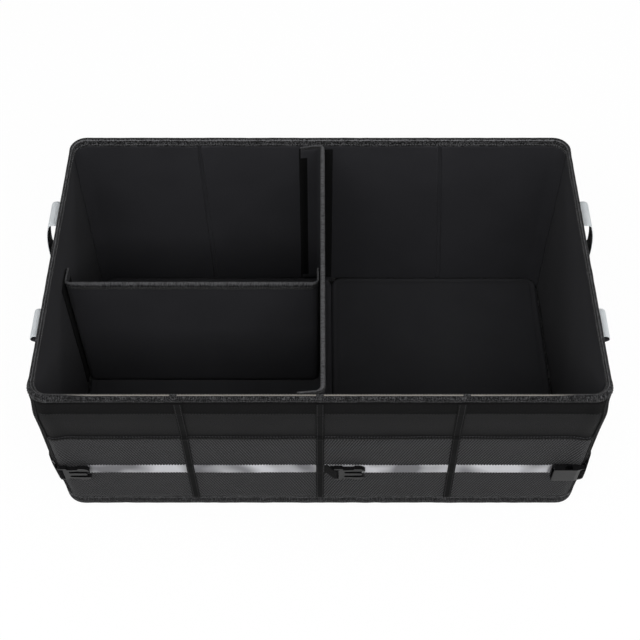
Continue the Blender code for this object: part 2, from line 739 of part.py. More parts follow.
def tangent_angle(from_center, from_radius, to_center, to_radius):
    """Direction, in degrees, from both centers to a line that touches both circles, taken counter-clockwise."""
    dx, dy = to_center[0] - from_center[0], to_center[1] - from_center[1]
    lean = math.acos((from_radius - to_radius) / math.hypot(dx, dy))
    return math.degrees(math.atan2(dy, dx) - lean)


def eye_path(angle_deg, center, return_run):
    """Webbing taken round a bar from the given direction, then back until it lies on itself again."""
    path = arc(center, EYE_RADIUS, angle_deg, angle_deg + 180.0 + EYE_CLOSE_DEG, 2 * ARC_STEPS)
    heading = math.radians(angle_deg + 270.0 + EYE_CLOSE_DEG)
    gap_left = EYE_RADIUS * (1 + math.cos(math.radians(EYE_CLOSE_DEG))) - WEBBING - CLEARANCE
    closing = gap_left / math.sin(math.radians(EYE_CLOSE_DEG))
    x, y = path[-1]
    meet = (x + closing * math.cos(heading), y + closing * math.sin(heading))
    path.append(meet)
    if return_run:
        back = math.radians(angle_deg + 270.0)
        path.append((meet[0] + return_run * math.cos(back), meet[1] + return_run * math.sin(back)))
    return path


def webbing_on_frame(name, path, frame):
    low = BUCKLE_Z - WEBBING_WIDTH / 2
    made = standing_strip(
        name, path, low, low + WEBBING_WIDTH, WEBBING, DARK_WEBBING, middle=True, lean=False
    )
    made.parent = frame


def corner_strap_path(bar_inset):
    """From the side wall round the corner to the bar, for the left corner, in the plane of the front wall."""
    center = (-WIDTH / 2 + CORNER_RADIUS, CORNER_RADIUS)
    radius = CORNER_RADIUS + ON_MESH + WEBBING / 2
    eye = (-WIDTH / 2 + bar_inset, -BUCKLE_OFF_WALL)
    leave = tangent_angle(center, radius, eye, EYE_RADIUS)
    lying = -WIDTH / 2 - CLEARANCE - WEBBING / 2
    path = [(lying, center[1] + SIDE_TAIL), (lying, center[1] + SIDE_TAIL / 2)]
    path += arc(center, radius, 180.0, leave % 360.0, ARC_STEPS)
    return path + eye_path(leave, eye, WEBBING_WIDTH / 4)


def make_straps(frame):
    webbing_on_frame("strap_left", corner_strap_path(LEFT_BAR_INSET), frame)
    right = [(-x, y) for x, y in reversed(corner_strap_path(RIGHT_BAR_INSET))]
    webbing_on_frame("strap_right", right, frame)
    lying = -(ON_MESH + STRIPE + CLEARANCE + WEBBING / 2)
    start_x = TAPE_WIDTH / 2 + CLEARANCE
    lift = (start_x + CENTER_TAIL, lying)
    eye = (CENTER_BAR_X, -BUCKLE_OFF_WALL)
    leave = tangent_angle(lift, 0.0, eye, EYE_RADIUS)
    webbing_on_frame("strap_center", [(start_x, lying), lift] + eye_path(leave, eye, 0.0), frame)


# Carrying handles

HANDLE_FOLD_Z = HEIGHT - HANDLE_DROP
HANDLE_SAG_Z = HANDLE_FOLD_Z - HANDLE_LEG


def ease(t):
    return (1 - math.cos(math.pi * t)) / 2


def handle_stations():
    """Middle line of one handle, rear patch first, as (off the wall, y, z, twist, width direction in y and z)."""
    lying = CLEARANCE + HANDLE / 2
    patch_low = HANDLE_FOLD_Z - HANDLE_PATCH
    rear_out = lying + 2 * REAR_FOLD
    front_out = lying + 2 * FRONT_FOLD
    tucked = lying + HANDLE + CLEARANCE + FRONT_TUCK
    sag_out = rear_out + REAR_BULGE
    steps = ARC_STEPS

    stations = [(lying, HANDLE_LEG_Y, patch_low, 0.0, 1.0, 0.0)]
    for i in range(steps + 1):
        angle = math.pi * i / steps
        off = lying + REAR_FOLD * (1 - math.cos(angle))
        z = HANDLE_FOLD_Z + FOLD_HEIGHT * math.sin(angle)
        stations.append((off, HANDLE_LEG_Y, z, 0.0, 1.0, 0.0))
    for i in range(1, steps + 1):
        t = i / steps
        off = rear_out + REAR_BULGE * math.sin(math.pi / 2 * t)
        z = HANDLE_FOLD_Z + (HANDLE_SAG_Z - HANDLE_FOLD_Z) * t
        stations.append((off, HANDLE_LEG_Y, z, REAR_TWIST * ease(t), 1.0, 0.0))
    for i in range(1, 2 * steps + 1):
        t = i / (2 * steps)
        angle = math.pi * t
        out_y, out_z = HANDLE_SAG * math.cos(angle), -HANDLE_LEG_Y * math.sin(angle)
        length = math.hypot(out_y, out_z)
        off = sag_out + (tucked - sag_out) * ease(t)
        y = HANDLE_LEG_Y * math.cos(angle)
        z = HANDLE_SAG_Z - HANDLE_SAG * math.sin(angle)
        stations.append((off, y, z, REAR_TWIST * (1 - t), out_y / length, out_z / length))
    tuck_z = HANDLE_FOLD_Z - FOLD_HEIGHT
    for i in range(1, steps + 1):
        t = i / steps
        z = HANDLE_SAG_Z + (tuck_z - HANDLE_SAG_Z) * t
        stations.append((tucked, -HANDLE_LEG_Y, z, 0.0, -1.0, 0.0))
    swing = front_out - tucked
    for i in range(1, SWING_STEPS):
        t = i / SWING_STEPS
        stations.append((tucked + swing * ease(t), -HANDLE_LEG_Y, tuck_z + FOLD_HEIGHT * t, 0.0, -1.0, 0.0))
    for i in range(steps + 1):
        angle = math.pi * (1 - i / steps)
        off = lying + FRONT_FOLD * (1 - math.cos(angle))
        z = HANDLE_FOLD_Z + FOLD_HEIGHT * math.sin(angle)
        stations.append((off, -HANDLE_LEG_Y, z, 0.0, -1.0, 0.0))
    stations.append((lying, -HANDLE_LEG_Y, patch_low, 0.0, -1.0, 0.0))
    return stations


def make_handle(name, side):
    """A webbing loop, sewn down at both ends, that stands off the wall at the rear and hangs in a slack bow."""
    bm = bmesh.new()
    rows = []
    for off, y, z, twist, wide_y, wide_z in handle_stations():
        middle = Vector((WIDTH / 2 + off, y, z))
        half = Vector((twist, wide_y, wide_z)).normalized() * HANDLE_WIDTH / 2
        rows.append([middle - half, middle + half])
    for row in rows:
        for point in row:
            point.x *= side
    grid = [[bm.verts.new(point) for point in row] for row in rows]
    for row, following in zip(grid, grid[1:]):
        bm.faces.new((row[0], following[0], following[1], row[1]))
    bmesh.ops.recalc_face_normals(bm, faces=bm.faces)
    mesh = bpy.data.meshes.new(name)
    bm.to_mesh(mesh)
    bm.free()
    made = add_object(name, mesh, GREY_WEBBING)
    solid = made.modifiers.new("thickness", "SOLIDIFY")
    solid.thickness = HANDLE
    solid.offset = 0.0
    solid.use_even_offset = True


make_outer_fabric()
make_boards()
make_lining()
make_bindings()
make_pads()
make_divider("center_divider", center_path(), CENTER_TOP, lean=True)
make_divider("cross_divider", cross_path(), CROSS_TOP, lean=False)
make_center_grips()
make_cross_grips()
make_pocket_layers()
make_tapes()
wall_frame = front_wall_frame()
make_straps(wall_frame)
make_male("buckle_left", wall_frame, LEFT_BAR_INSET - WIDTH / 2)
make_male("buckle_center", wall_frame, CENTER_BAR_X)
make_female("buckle_right", wall_frame, WIDTH / 2 - RIGHT_BAR_INSET)
make_handle("handle_left", -1)
make_handle("handle_right", 1)
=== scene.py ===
# %% [markdown]
# # A fabric organizer for a car boot
#
# The box is sewn from black cloth over stiff boards. It has two compartments on the left, one large
# one on the right, a flat net pocket along the front, and a webbing handle at each end. A packed
# CAD model gives every size. This lesson loads it as a fixed frame, and then sews the soft goods
# over it one by one.

# %% Load the frame
import json
import math
from itertools import accumulate

import bmesh
import bpy
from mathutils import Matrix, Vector, noise


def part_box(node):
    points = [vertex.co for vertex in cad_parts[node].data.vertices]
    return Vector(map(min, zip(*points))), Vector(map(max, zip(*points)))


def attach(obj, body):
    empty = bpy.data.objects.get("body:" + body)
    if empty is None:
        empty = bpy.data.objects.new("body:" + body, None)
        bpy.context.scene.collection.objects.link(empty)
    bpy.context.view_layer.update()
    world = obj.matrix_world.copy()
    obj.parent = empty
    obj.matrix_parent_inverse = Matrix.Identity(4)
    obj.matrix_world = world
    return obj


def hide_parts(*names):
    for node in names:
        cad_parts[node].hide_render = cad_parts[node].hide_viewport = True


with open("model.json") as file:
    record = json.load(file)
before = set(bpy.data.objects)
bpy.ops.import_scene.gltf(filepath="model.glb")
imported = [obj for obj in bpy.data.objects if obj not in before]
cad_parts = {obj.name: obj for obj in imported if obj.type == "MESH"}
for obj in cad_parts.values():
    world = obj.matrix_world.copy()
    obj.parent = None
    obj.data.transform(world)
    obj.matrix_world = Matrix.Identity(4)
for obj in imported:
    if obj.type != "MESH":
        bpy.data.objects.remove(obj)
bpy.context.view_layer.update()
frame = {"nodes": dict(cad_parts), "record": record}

# %% [markdown]
# ## The camera
#
# The photograph looks down at the open box from the middle of the front. Its rim and its floor
# edges give the angle: the camera is 1.25 m up and looks 53 degrees down. A lens of 66 mm on a 36
# mm sensor keeps that perspective.

# %% Place the camera
PHOTO_WIDTH = 640.0
FOCAL_PIXELS = 1172.5
SENSOR_WIDTH = 36.0
LOOK_DOWN = math.radians(53.15)
CAMERA_PLACE = (0.0, -0.8368, 1.2479)

camera_data = bpy.data.cameras.new("photo_camera")
camera_data.sensor_width = SENSOR_WIDTH
camera_data.lens = FOCAL_PIXELS / PHOTO_WIDTH * SENSOR_WIDTH
camera = bpy.data.objects.new("photo_camera", camera_data)
camera.location = CAMERA_PLACE
camera.rotation_euler = (math.pi / 2 - LOOK_DOWN, 0.0, 0.0)
bpy.context.scene.collection.objects.link(camera)
bpy.context.scene.camera = camera
print("lens:", round(camera_data.lens, 2), "mm")

# %% [markdown]
# ## Studio light
#
# Black cloth only shows its weave in soft, even light from a large source. A wide panel stands high
# in front, so that it also reaches the wall at the back of the box. One panel on each side lights
# the inner wall across from it, and a smaller one behind gives the rim a pale edge. The world fills
# the shadows.

# %% Hang the lamps
SIDE_PANEL = (0.9, 1.2)
SHADOW_FILL = 0.09
PLAIN_WHITE = 1.0

scene = bpy.context.scene
scene.view_settings.view_transform = "Standard"


def softbox(name, place, target, size, watts):
    """A rectangular lamp that looks at its target."""
    lamp = bpy.data.lights.new(name, "AREA")
    lamp.shape = "RECTANGLE"
    lamp.size, lamp.size_y = size
    lamp.energy = watts
    made = bpy.data.objects.new(name, lamp)
    made.location = place
    made.rotation_euler = (Vector(target) - Vector(place)).to_track_quat("-Z", "Y").to_euler()
    scene.collection.objects.link(made)


softbox("front_key", (0.0, -1.35, 1.75), (0.0, 0.05, 0.1), (2.6, 1.1), 39.0)
for panel_name, side_x in (("left_panel", -1.75), ("right_panel", 1.75)):
    softbox(panel_name, (side_x, -0.2, 1.0), (0.0, 0.0, 0.1), SIDE_PANEL, 10.0)
softbox("rim_light", (0.2, 1.5, 1.2), (0.0, 0.1, 0.2), (1.6, 0.5), 8.0)

world = bpy.data.worlds.new("studio")
world.use_nodes = True
scene.world = world
sky = world.node_tree
fill = sky.nodes["Background"]
fill.inputs["Color"].default_value = (1.0, 1.0, 1.0, 1.0)
fill.inputs["Strength"].default_value = SHADOW_FILL
white_sky = sky.nodes.new("ShaderNodeBackground")
white_sky.inputs["Strength"].default_value = PLAIN_WHITE
seen_by = sky.nodes.new("ShaderNodeLightPath")
pick = sky.nodes.new("ShaderNodeMixShader")
sky.links.new(seen_by.outputs["Is Camera Ray"], pick.inputs[0])
sky.links.new(fill.outputs[0], pick.inputs[1])
sky.links.new(white_sky.outputs[0], pick.inputs[2])
sky.links.new(pick.outputs[0], sky.nodes["World Output"].inputs["Surface"])

# %% [markdown]
# ## The floor
#
# The picture has a white ground. A floor that only reflects light would be grey somewhere, so the
# camera sees a mix: mostly plain white, and a share of the lit floor, which keeps a faint shadow
# under the box.

# %% Lay the floor
SHADOW_SHARE = 0.06
GROUND_GREY = (0.82, 0.82, 0.82, 1.0)
GROUND_GLOW = 1.015
GROUND_SIZE = 12.0
GROUND_DROP = 0.0004

floor_look = bpy.data.materials.new("white_floor")
floor_look.use_nodes = True
tree = floor_look.node_tree
tree.nodes.remove(tree.nodes["Principled BSDF"])
lit = tree.nodes.new("ShaderNodeBsdfDiffuse")
lit.inputs["Color"].default_value = GROUND_GREY
glow = tree.nodes.new("ShaderNodeEmission")
glow.inputs["Strength"].default_value = GROUND_GLOW
path_kind = tree.nodes.new("ShaderNodeLightPath")
share = tree.nodes.new("ShaderNodeMath")
share.operation = "MULTIPLY"
share.inputs[1].default_value = 1.0 - SHADOW_SHARE
ground_mix = tree.nodes.new("ShaderNodeMixShader")
tree.links.new(path_kind.outputs["Is Camera Ray"], share.inputs[0])
tree.links.new(share.outputs[0], ground_mix.inputs[0])
tree.links.new(lit.outputs[0], ground_mix.inputs[1])
tree.links.new(glow.outputs[0], ground_mix.inputs[2])
tree.links.new(ground_mix.outputs[0], tree.nodes["Material Output"].inputs["Surface"])

bpy.ops.mesh.primitive_plane_add(size=GROUND_SIZE, location=(0.0, 0.0, -GROUND_DROP))
ground = bpy.context.object
ground.name = "ground"
ground.data.materials.append(floor_look)
print("ground:", GROUND_SIZE, "m wide")

# %% [markdown]
# ## Reading the walls from the frame
#
# Everything sewn on a wall follows one line round the box. The frame gives the half width, the half
# depth at the floor, and how far the front and rear walls lean out. The corners turn in 20 mm, as
# in the CAD model. A place on the wall is then three numbers: how far along the line, how high, and
# how far off the outer cloth. Zero along the line is the middle of the front, and it runs to the
# right.

# %% Measure the box
HALF_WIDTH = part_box("right_panel")[1].x
FRONT_LOW, FRONT_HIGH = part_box("front_panel")
SWING_AXIS = frame["record"]["behaviour"]["joints"][0]["axis"]
TILT = abs(SWING_AXIS[1] / SWING_AXIS[2])
HALF_DEPTH = -FRONT_LOW.y - TILT * FRONT_HIGH.z
CORNER = 0.020
WALL = HALF_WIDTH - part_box("right_lining")[0].x
RIM_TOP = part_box("rim_binding")[1].z
RIM_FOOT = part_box("rim_binding")[0].z
STRAIGHT_FRONT = 2 * (HALF_WIDTH - CORNER)
STRAIGHT_SIDE = 2 * (HALF_DEPTH - CORNER)
QUARTER = CORNER * math.pi / 2
ROUND_LENGTH = 2 * STRAIGHT_FRONT + 2 * STRAIGHT_SIDE + 4 * QUARTER
REAR_MIDDLE = ROUND_LENGTH / 2
RIGHT_MIDDLE = STRAIGHT_FRONT / 2 + QUARTER + STRAIGHT_SIDE / 2
print("half width", round(HALF_WIDTH, 4), "half depth", round(HALF_DEPTH, 4))
print("line round the box", round(ROUND_LENGTH, 3))


def plan_point(along):
    """Place and outward direction on the outer cloth at the floor, for a distance along the
    line."""
    along = (along + STRAIGHT_FRONT / 2) % ROUND_LENGTH
    corner_x, corner_y = HALF_WIDTH - CORNER, HALF_DEPTH - CORNER
    runs = (
        (STRAIGHT_FRONT, (-corner_x, -HALF_DEPTH), 0.0),
        (QUARTER, (corner_x, -corner_y), -90.0),
        (STRAIGHT_SIDE, (HALF_WIDTH, -corner_y), 90.0),
        (QUARTER, (corner_x, corner_y), 0.0),
        (STRAIGHT_FRONT, (corner_x, HALF_DEPTH), 180.0),
        (QUARTER, (-corner_x, corner_y), 90.0),
        (STRAIGHT_SIDE, (-HALF_WIDTH, corner_y), 270.0),
        (QUARTER, (-corner_x, -corner_y), 180.0),
    )
    for number, (length, start, heading) in enumerate(runs):
        if along <= length or number == len(runs) - 1:
            break
        along -= length
    if number % 2:
        angle = math.radians(heading) + along / CORNER
        out = Vector((math.cos(angle), math.sin(angle)))
        return Vector(start) + CORNER * out, out
    angle = math.radians(heading)
    ahead = Vector((math.cos(angle), math.sin(angle)))
    return Vector(start) + along * ahead, Vector((ahead.y, -ahead.x))


def wall_point(along, height, off):
    """A point on the leaning walls: off is measured outward from the outer cloth."""
    place, out = plan_point(along)
    flat = place + off * out
    lean = max(-1.0, min(1.0, flat.y / (HALF_DEPTH - CORNER)))
    return Vector((flat.x, flat.y + lean * TILT * height, height))


print("front middle at the rim:", tuple(round(c, 4) for c in wall_point(0.0, RIM_TOP, 0.0)))

# %% [markdown]
# ## Sewing tools
#
# Cloth, tape and webbing are all bands: a cross-section carried along a path. The helper takes the
# rows of points that such a path gives, joins them with quads, and closes the ends. It also writes
# a UV map in metres, so that a weave drawn in the material keeps its real size on every piece.

# %% Make bands from rows of points
BLACK_BOX = "box"


def shared_out(low, high, count):
    """Values from low to high in an exact number of equal steps."""
    return [low + (high - low) * i / count for i in range(count + 1)]


def spread(low, high, step):
    """Evenly spaced values from low to high, no further apart than the step."""
    return shared_out(low, high, max(1, math.ceil((high - low) / step - 1e-6)))


def travelled_by(lengths):
    """Distance from the start at every point of a line, from the lengths of its parts."""
    return [0.0, *accumulate(lengths)]


def put_in_scene(name, bm, look):
    """Turn what was drawn into an object that rides on the box."""
    bmesh.ops.recalc_face_normals(bm, faces=bm.faces)
    mesh = bpy.data.meshes.new(name)
    bm.to_mesh(mesh)
    bm.free()
    mesh.materials.append(look)
    made = bpy.data.objects.new(name, mesh)
    scene.collection.objects.link(made)
    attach(made, BLACK_BOX)
    return made


def band(name, rows, look, ring=True, run_closed=False):
    """Skin rows of points. ring closes each row on itself, and run_closed joins the last row to the
    first."""
    bm = bmesh.new()
    across = travelled_by((b - a).length for a, b in zip(rows[0], rows[0][1:] + rows[0][:1]))
    steps_on = zip(rows, rows[1:] + rows[:1])
    along = travelled_by(sum((q - p).length for p, q in zip(a, b)) / len(a) for a, b in steps_on)
    verts = [[bm.verts.new(point) for point in row] for row in rows]
    uv = bm.loops.layers.uv.new("metres")
    turns = len(rows) if run_closed else len(rows) - 1
    steps = len(rows[0]) if ring else len(rows[0]) - 1
    for i in range(turns):
        here, there = verts[i], verts[(i + 1) % len(rows)]
        for j in range(steps):
            k = (j + 1) % len(here)
            face = bm.faces.new((here[j], there[j], there[k], here[k]))
            face.smooth = True
            spots = ((i, j), (i + 1, j), (i + 1, j + 1), (i, j + 1))
            for loop, (a, b) in zip(face.loops, spots):
                loop[uv].uv = (along[a], across[b])
    if ring and not run_closed:
        bm.faces.new(verts[0])
        bm.faces.new(list(reversed(verts[-1])))
    return put_in_scene(name, bm, look)


def thicken(made, thickness, offset=-1.0):
    """Give an open sheet its cloth thickness, measured inward from the face that was drawn."""
    solid = made.modifiers.new("cloth_thickness", "SOLIDIFY")
    solid.thickness = thickness
    solid.offset = offset
    return made


def ripple(along, height, size, seed):
    """Smooth noise from -1 to 1, with hollows about as wide as size."""
    return noise.noise(Vector((along / size, height / size, seed)))


def hollows(along, height, size, seed):
    """The same noise, from 0 to 1."""
    return 0.5 + 0.5 * ripple(along, height, size, seed)


print("noise at the front:", round(ripple(0.0, RIM_TOP, 0.085, 3.1), 3))

# %% [markdown]
# ## Stitches
#
# A sewn seam is a row of short threads that dip into the cloth. Each one here is a small closed
# lozenge with narrow ends, laid along the seam and sunk a little. One mesh holds the whole row,
# because rows have hundreds of them.

# %% Sew a row of stitches
STITCH_LENGTH = 0.0022
STITCH_GAP = 0.0010
THREAD = 0.0004
THREAD_SIDES = 5
LOZENGE = ((-0.5, 0.45, -0.5), (-0.3, 1.0, 0.3), (0.3, 1.0, 0.3), (0.5, 0.45, -0.5))


def add_stitch(bm, middle, ahead, normal):
    """One stitch. Each ring of the lozenge is given as its place along the stitch, its size and its
    rise."""
    side = ahead.cross(normal).normalized()
    rings = []
    for reach, swell, rise in LOZENGE:
        center = middle + ahead * reach * STITCH_LENGTH + normal * rise * THREAD
        ring = []
        for k in range(THREAD_SIDES):
            angle = 2 * math.pi * k / THREAD_SIDES
            arm = side * math.cos(angle) + normal * math.sin(angle)
            ring.append(bm.verts.new(center + arm * THREAD * swell))
        rings.append(ring)
    for one, two in zip(rings, rings[1:]):
        for k in range(THREAD_SIDES):
            after = (k + 1) % THREAD_SIDES
            bm.faces.new((one[k], one[after], two[after], two[k])).smooth = True
    bm.faces.new(list(reversed(rings[0])))
    bm.faces.new(rings[-1])


def stitch_row(name, points, outward, look, closed=False):
    """Stitches along a line of points. outward gives the cloth's normal beside each point."""
    bm = bmesh.new()
    points = list(points) + ([points[0]] if closed else [])
    outward = list(outward) + ([outward[0]] if closed else [])
    travelled, due = 0.0, STITCH_GAP
    for a, b, normal in zip(points, points[1:], outward):
        run = b - a
        length = run.length
        if length < 1e-9:
            continue
        ahead = run / length
        while due + STITCH_LENGTH / 2 <= travelled + length:
            add_stitch(bm, a + ahead * (due + STITCH_LENGTH / 2 - travelled), ahead, normal)
            due += STITCH_LENGTH + STITCH_GAP
        travelled += length
    return put_in_scene(name, bm, look)


def wall_stitches(name, alongs, heights, off, look, facing=1.0):
    """A row sewn on a wall, on the surface off(along, height). facing is 1 outside and -1 on the
    lining."""
    points = [wall_point(s, z, off(s, z)) for s, z in zip(alongs, heights)]
    normals = []
    for s in alongs:
        out = plan_point(s)[1] * facing
        normals.append(Vector((out.x, out.y, 0.0)))
    return stitch_row(name, points, normals, look)


print("stitch pitch", round((STITCH_LENGTH + STITCH_GAP) * 1000, 1), "mm")

# %% [markdown]
# ## Materials: shared nodes
#
# Every finish is a small drawing made of sine waves in the UV map, whose unit is a metre. The
# helpers below keep that short: one starts a material, one does arithmetic, one turns a height
# pattern into a bump, and one gives the cloth its sheen, which stands for loose fibres that catch
# light at the edge.

# %% Node helpers
def start_look(name, colour, roughness):
    """A new material with one colour and one roughness, to be drawn on."""
    look = bpy.data.materials.new(name)
    look.use_nodes = True
    tree = look.node_tree
    shader = tree.nodes["Principled BSDF"]
    shader.inputs["Base Color"].default_value = (*colour, 1.0)
    shader.inputs["Roughness"].default_value = roughness
    return look, tree, shader


def sums(tree, operation, first, second=0.0, third=0.0):
    """One arithmetic node. A number is typed into its socket, and a socket is linked."""
    node = tree.nodes.new("ShaderNodeMath")
    node.operation = operation
    for socket, value in zip(node.inputs, (first, second, third)):
        if isinstance(value, (int, float)):
            socket.default_value = value
        else:
            tree.links.new(value, socket)
    return node.outputs[0]


def cloth_axes(tree):
    """Distance along the piece and across it, in metres."""
    uv = tree.nodes.new("ShaderNodeUVMap")
    uv.uv_map = "metres"
    split = tree.nodes.new("ShaderNodeSeparateXYZ")
    tree.links.new(uv.outputs[0], split.inputs[0])
    return split.outputs[0], split.outputs[1], uv.outputs[0]


def upward(tree, value):
    """Move a wave from -1 to 1 up to 0 to 1."""
    return sums(tree, "MULTIPLY_ADD", value, 0.5, 0.5)


def wave(tree, distance, pitch, shift=0.0):
    """A sine from -1 to 1 that repeats every pitch metres."""
    turns = sums(tree, "MULTIPLY_ADD", distance, 2 * math.pi / pitch, shift)
    return sums(tree, "SINE", turns)


def cloud(tree, place, size, detail=2.0):
    """Soft noise around 0.5 whose blots are about size metres wide."""
    node = tree.nodes.new("ShaderNodeTexNoise")
    node.inputs["Scale"].default_value = 1.0 / size
    node.inputs["Detail"].default_value = detail
    tree.links.new(place, node.inputs["Vector"])
    return node.outputs["Fac"]


def body_place(tree):
    """Object coordinates: metres in the frame, the same from every side."""
    return tree.nodes.new("ShaderNodeTexCoord").outputs["Object"]


def add_bump(tree, shader, height, depth):
    """Let light see a height pattern whose full rise is depth metres."""
    node = tree.nodes.new("ShaderNodeBump")
    node.inputs["Strength"].default_value = 1.0
    node.inputs["Distance"].default_value = depth
    tree.links.new(height, node.inputs["Height"])
    tree.links.new(node.outputs[0], shader.inputs["Normal"])


def soften(shader, sheen, gloss, sheen_roughness=0.5):
    """Give cloth its faint sheen, and take away most of the shader's gloss."""
    shader.inputs["Sheen Weight"].default_value = sheen
    shader.inputs["Sheen Roughness"].default_value = sheen_roughness
    shader.inputs["Specular IOR Level"].default_value = gloss


def tint(tree, shader, factor, dark, light):
    """Mix two colours by a factor between 0 and 1."""
    ramp = tree.nodes.new("ShaderNodeMix")
    ramp.data_type = "RGBA"
    ramp.inputs[6].default_value = (*dark, 1.0)
    ramp.inputs[7].default_value = (*light, 1.0)
    ramp.clamp_factor = True
    tree.links.new(factor, ramp.inputs[0])
    tree.links.new(ramp.outputs[2], shader.inputs["Base Color"])


print("materials so far:", len(bpy.data.materials))

# %% [markdown]
# ## Woven cloth
#
# The outer cloth is a basket weave: pairs of threads pass over and under each other. The product of
# two sines gives that chequer of raised blocks, and a wide, faint cloud keeps the black from being
# one flat value. The lining and the covers of the floor pads are the same weave from finer thread.

# %% Outer cloth and lining cloth
FINE_PITCH, FINE_DEPTH = 0.0008, 0.00007


def woven_look(name, dark, light, pitch, depth, roughness, sheen):
    """pitch is the distance between threads, and depth is how far their weave rises."""
    look, tree, shader = start_look(name, dark, roughness)
    along, across, flat = cloth_axes(tree)
    weave = sums(tree, "MULTIPLY", wave(tree, along, pitch), wave(tree, across, pitch))
    threads = upward(tree, weave)
    wear = cloud(tree, body_place(tree), 0.05, 3.0)
    shade = sums(tree, "MULTIPLY_ADD", wear, 0.7, -0.1)
    tint(tree, shader, sums(tree, "MULTIPLY_ADD", threads, 0.45, shade), dark, light)
    height = sums(tree, "MULTIPLY_ADD", cloud(tree, flat, 0.0006, 1.0), 0.5, threads)
    add_bump(tree, shader, height, depth)
    soften(shader, sheen, 0.12)
    return look


OUTER_CLOTH = woven_look(
    "outer_cloth", (0.0067, 0.0067, 0.0070), (0.0124, 0.0124, 0.0130), 0.0012, 0.00015, 0.80, 0.015)
LINING_CLOTH = woven_look(
    "lining_cloth", (0.020, 0.020, 0.0225), (0.032, 0.032, 0.036), FINE_PITCH, FINE_DEPTH,
    0.65, 0.03)
PAD_CLOTH = woven_look(
    "pad_cloth", (0.025, 0.025, 0.0275), (0.039, 0.039, 0.0425), FINE_PITCH, FINE_DEPTH,
    0.60, 0.02)
print("cloths:", OUTER_CLOTH.name, LINING_CLOTH.name, PAD_CLOTH.name)

# %% [markdown]
# ## Knit binding
#
# The tape over the rim is knitted: columns of small V stitches run across it, and their loops catch
# the light as pale flecks. One slanted wave, folded at the middle of each column, gives the V.
# Noise that is drawn out along the slant breaks the loops into flecks. Along the top of the fold a
# denser, paler band of flecks is painted in: a painted highlight where the fold catches the light.

# %% Knit tape
def knit_look(name, dark, light, column=0.0019, row=0.0016, crest=None, plain=1.0):
    """Knit tape. crest gives the middle and half width of a band along the top of the fold that is
    painted paler, a painted highlight where the fold catches the light. plain is the share of the
    pattern that is left away from the fold."""
    look, tree, shader = start_look(name, dark, 0.9)
    along, across, flat = cloth_axes(tree)
    half_column = sums(tree, "PINGPONG", along, column / 2)
    slant = sums(tree, "MULTIPLY_ADD", half_column, 1.2, sums(tree, "MULTIPLY", across, 0.8))
    loops = upward(tree, wave(tree, slant, row))
    gaps = upward(tree, wave(tree, along, column, math.pi / 2))
    knit = sums(tree, "MULTIPLY", loops, gaps)
    drawn = tree.nodes.new("ShaderNodeCombineXYZ")
    tree.links.new(slant, drawn.inputs[1])
    tree.links.new(sums(tree, "MULTIPLY", across, 0.35), drawn.inputs[0])
    tree.links.new(along, drawn.inputs[2])
    fleck = cloud(tree, drawn.outputs[0], 0.0017, 2.0)
    patch = cloud(tree, flat, 0.012, 2.0)
    spots = sums(tree, "MULTIPLY_ADD", fleck, 5.2, -2.35)
    broken = sums(tree, "MULTIPLY", spots, sums(tree, "MULTIPLY_ADD", patch, 1.6, -0.1))
    tone = sums(tree, "MULTIPLY", sums(tree, "MULTIPLY_ADD", knit, 0.35, broken), plain)
    # Painted highlight: a paler, flecked band along the top of the fold, where the light catches
    # it.
    if crest:
        away = sums(tree, "ABSOLUTE", sums(tree, "SUBTRACT", across, crest[0]))
        near = sums(tree, "MAXIMUM", sums(tree, "MULTIPLY_ADD", away, -1.0 / crest[1], 1.0), 0.0)
        flecked_highlight = sums(tree, "MULTIPLY_ADD", fleck, 1.6, 0.05)
        tone = sums(tree, "MULTIPLY_ADD", near, flecked_highlight, tone)
    tint(tree, shader, tone, dark, light)
    add_bump(tree, shader, sums(tree, "ADD", knit, fleck), 0.0004)
    soften(shader, 0.08, 0.15, 0.4)
    return look


# Each crest below is a painted highlight along the top of the tape. The divider's copy is lighter
# overall than the rim's: painted light on the divider tops, which face the lamps.
KNIT_TAPE = knit_look(
    "knit_tape", (0.003, 0.003, 0.0032), (0.165, 0.165, 0.172), crest=(0.0119, 0.0011), plain=0.5)
FOOT_KNIT = knit_look(
    "foot_knit", (0.004, 0.004, 0.0043), (0.082, 0.082, 0.086), crest=(0.0018, 0.0012), plain=0.85)
LIT_DIVIDER_KNIT = knit_look(
    "lit_divider_knit", (0.008, 0.008, 0.0085), (0.088, 0.088, 0.092), crest=(0.0047, 0.0024),
    plain=0.55)
HEM_TAPE = knit_look("hem_tape", (0.0032, 0.0032, 0.0034), (0.0090, 0.0090, 0.0094), 0.0016, 0.0013)
print("knits:", KNIT_TAPE.name, FOOT_KNIT.name, LIT_DIVIDER_KNIT.name, HEM_TAPE.name)

# %% [markdown]
# ## Pocket net
#
# The pocket is a fine net over the plain cloth. Its threads run steeply on the slant, mirrored
# about the middle of the box, and a weaker set crosses them. Two slanted sines give the threads:
# where they are high there is thread, and where they are low the dark wall shows through.

# %% Net
NET_SLANT = 0.41
NET_CELL = 0.0033
NET_TURN = 0.0108


def net_look(name, hole, thread, cell, middle):
    """middle is the distance along the net at which its pattern is mirrored."""
    look, tree, shader = start_look(name, thread, 0.85)
    along, across, _ = cloth_axes(tree)
    from_middle = sums(tree, "ABSOLUTE", sums(tree, "SUBTRACT", along, middle))
    rising = wave(tree, sums(tree, "MULTIPLY_ADD", across, -NET_SLANT, from_middle), cell)
    crossing = wave(tree, sums(tree, "MULTIPLY_ADD", across, NET_SLANT, from_middle), cell)
    strands = sums(tree, "MULTIPLY_ADD", crossing, 0.35, rising)
    patch = cloud(tree, body_place(tree), 0.05, 2.0)
    strength = sums(tree, "MULTIPLY_ADD", patch, 1.9, -0.30)
    level = sums(tree, "MULTIPLY_ADD", across, 0.9, 0.42)
    raised = sums(tree, "MULTIPLY_ADD", sums(tree, "MULTIPLY", strands, strength), 0.95, level)
    tint(tree, shader, raised, hole, thread)
    add_bump(tree, shader, raised, 0.0005)
    soften(shader, 0.04, 0.15)
    return look


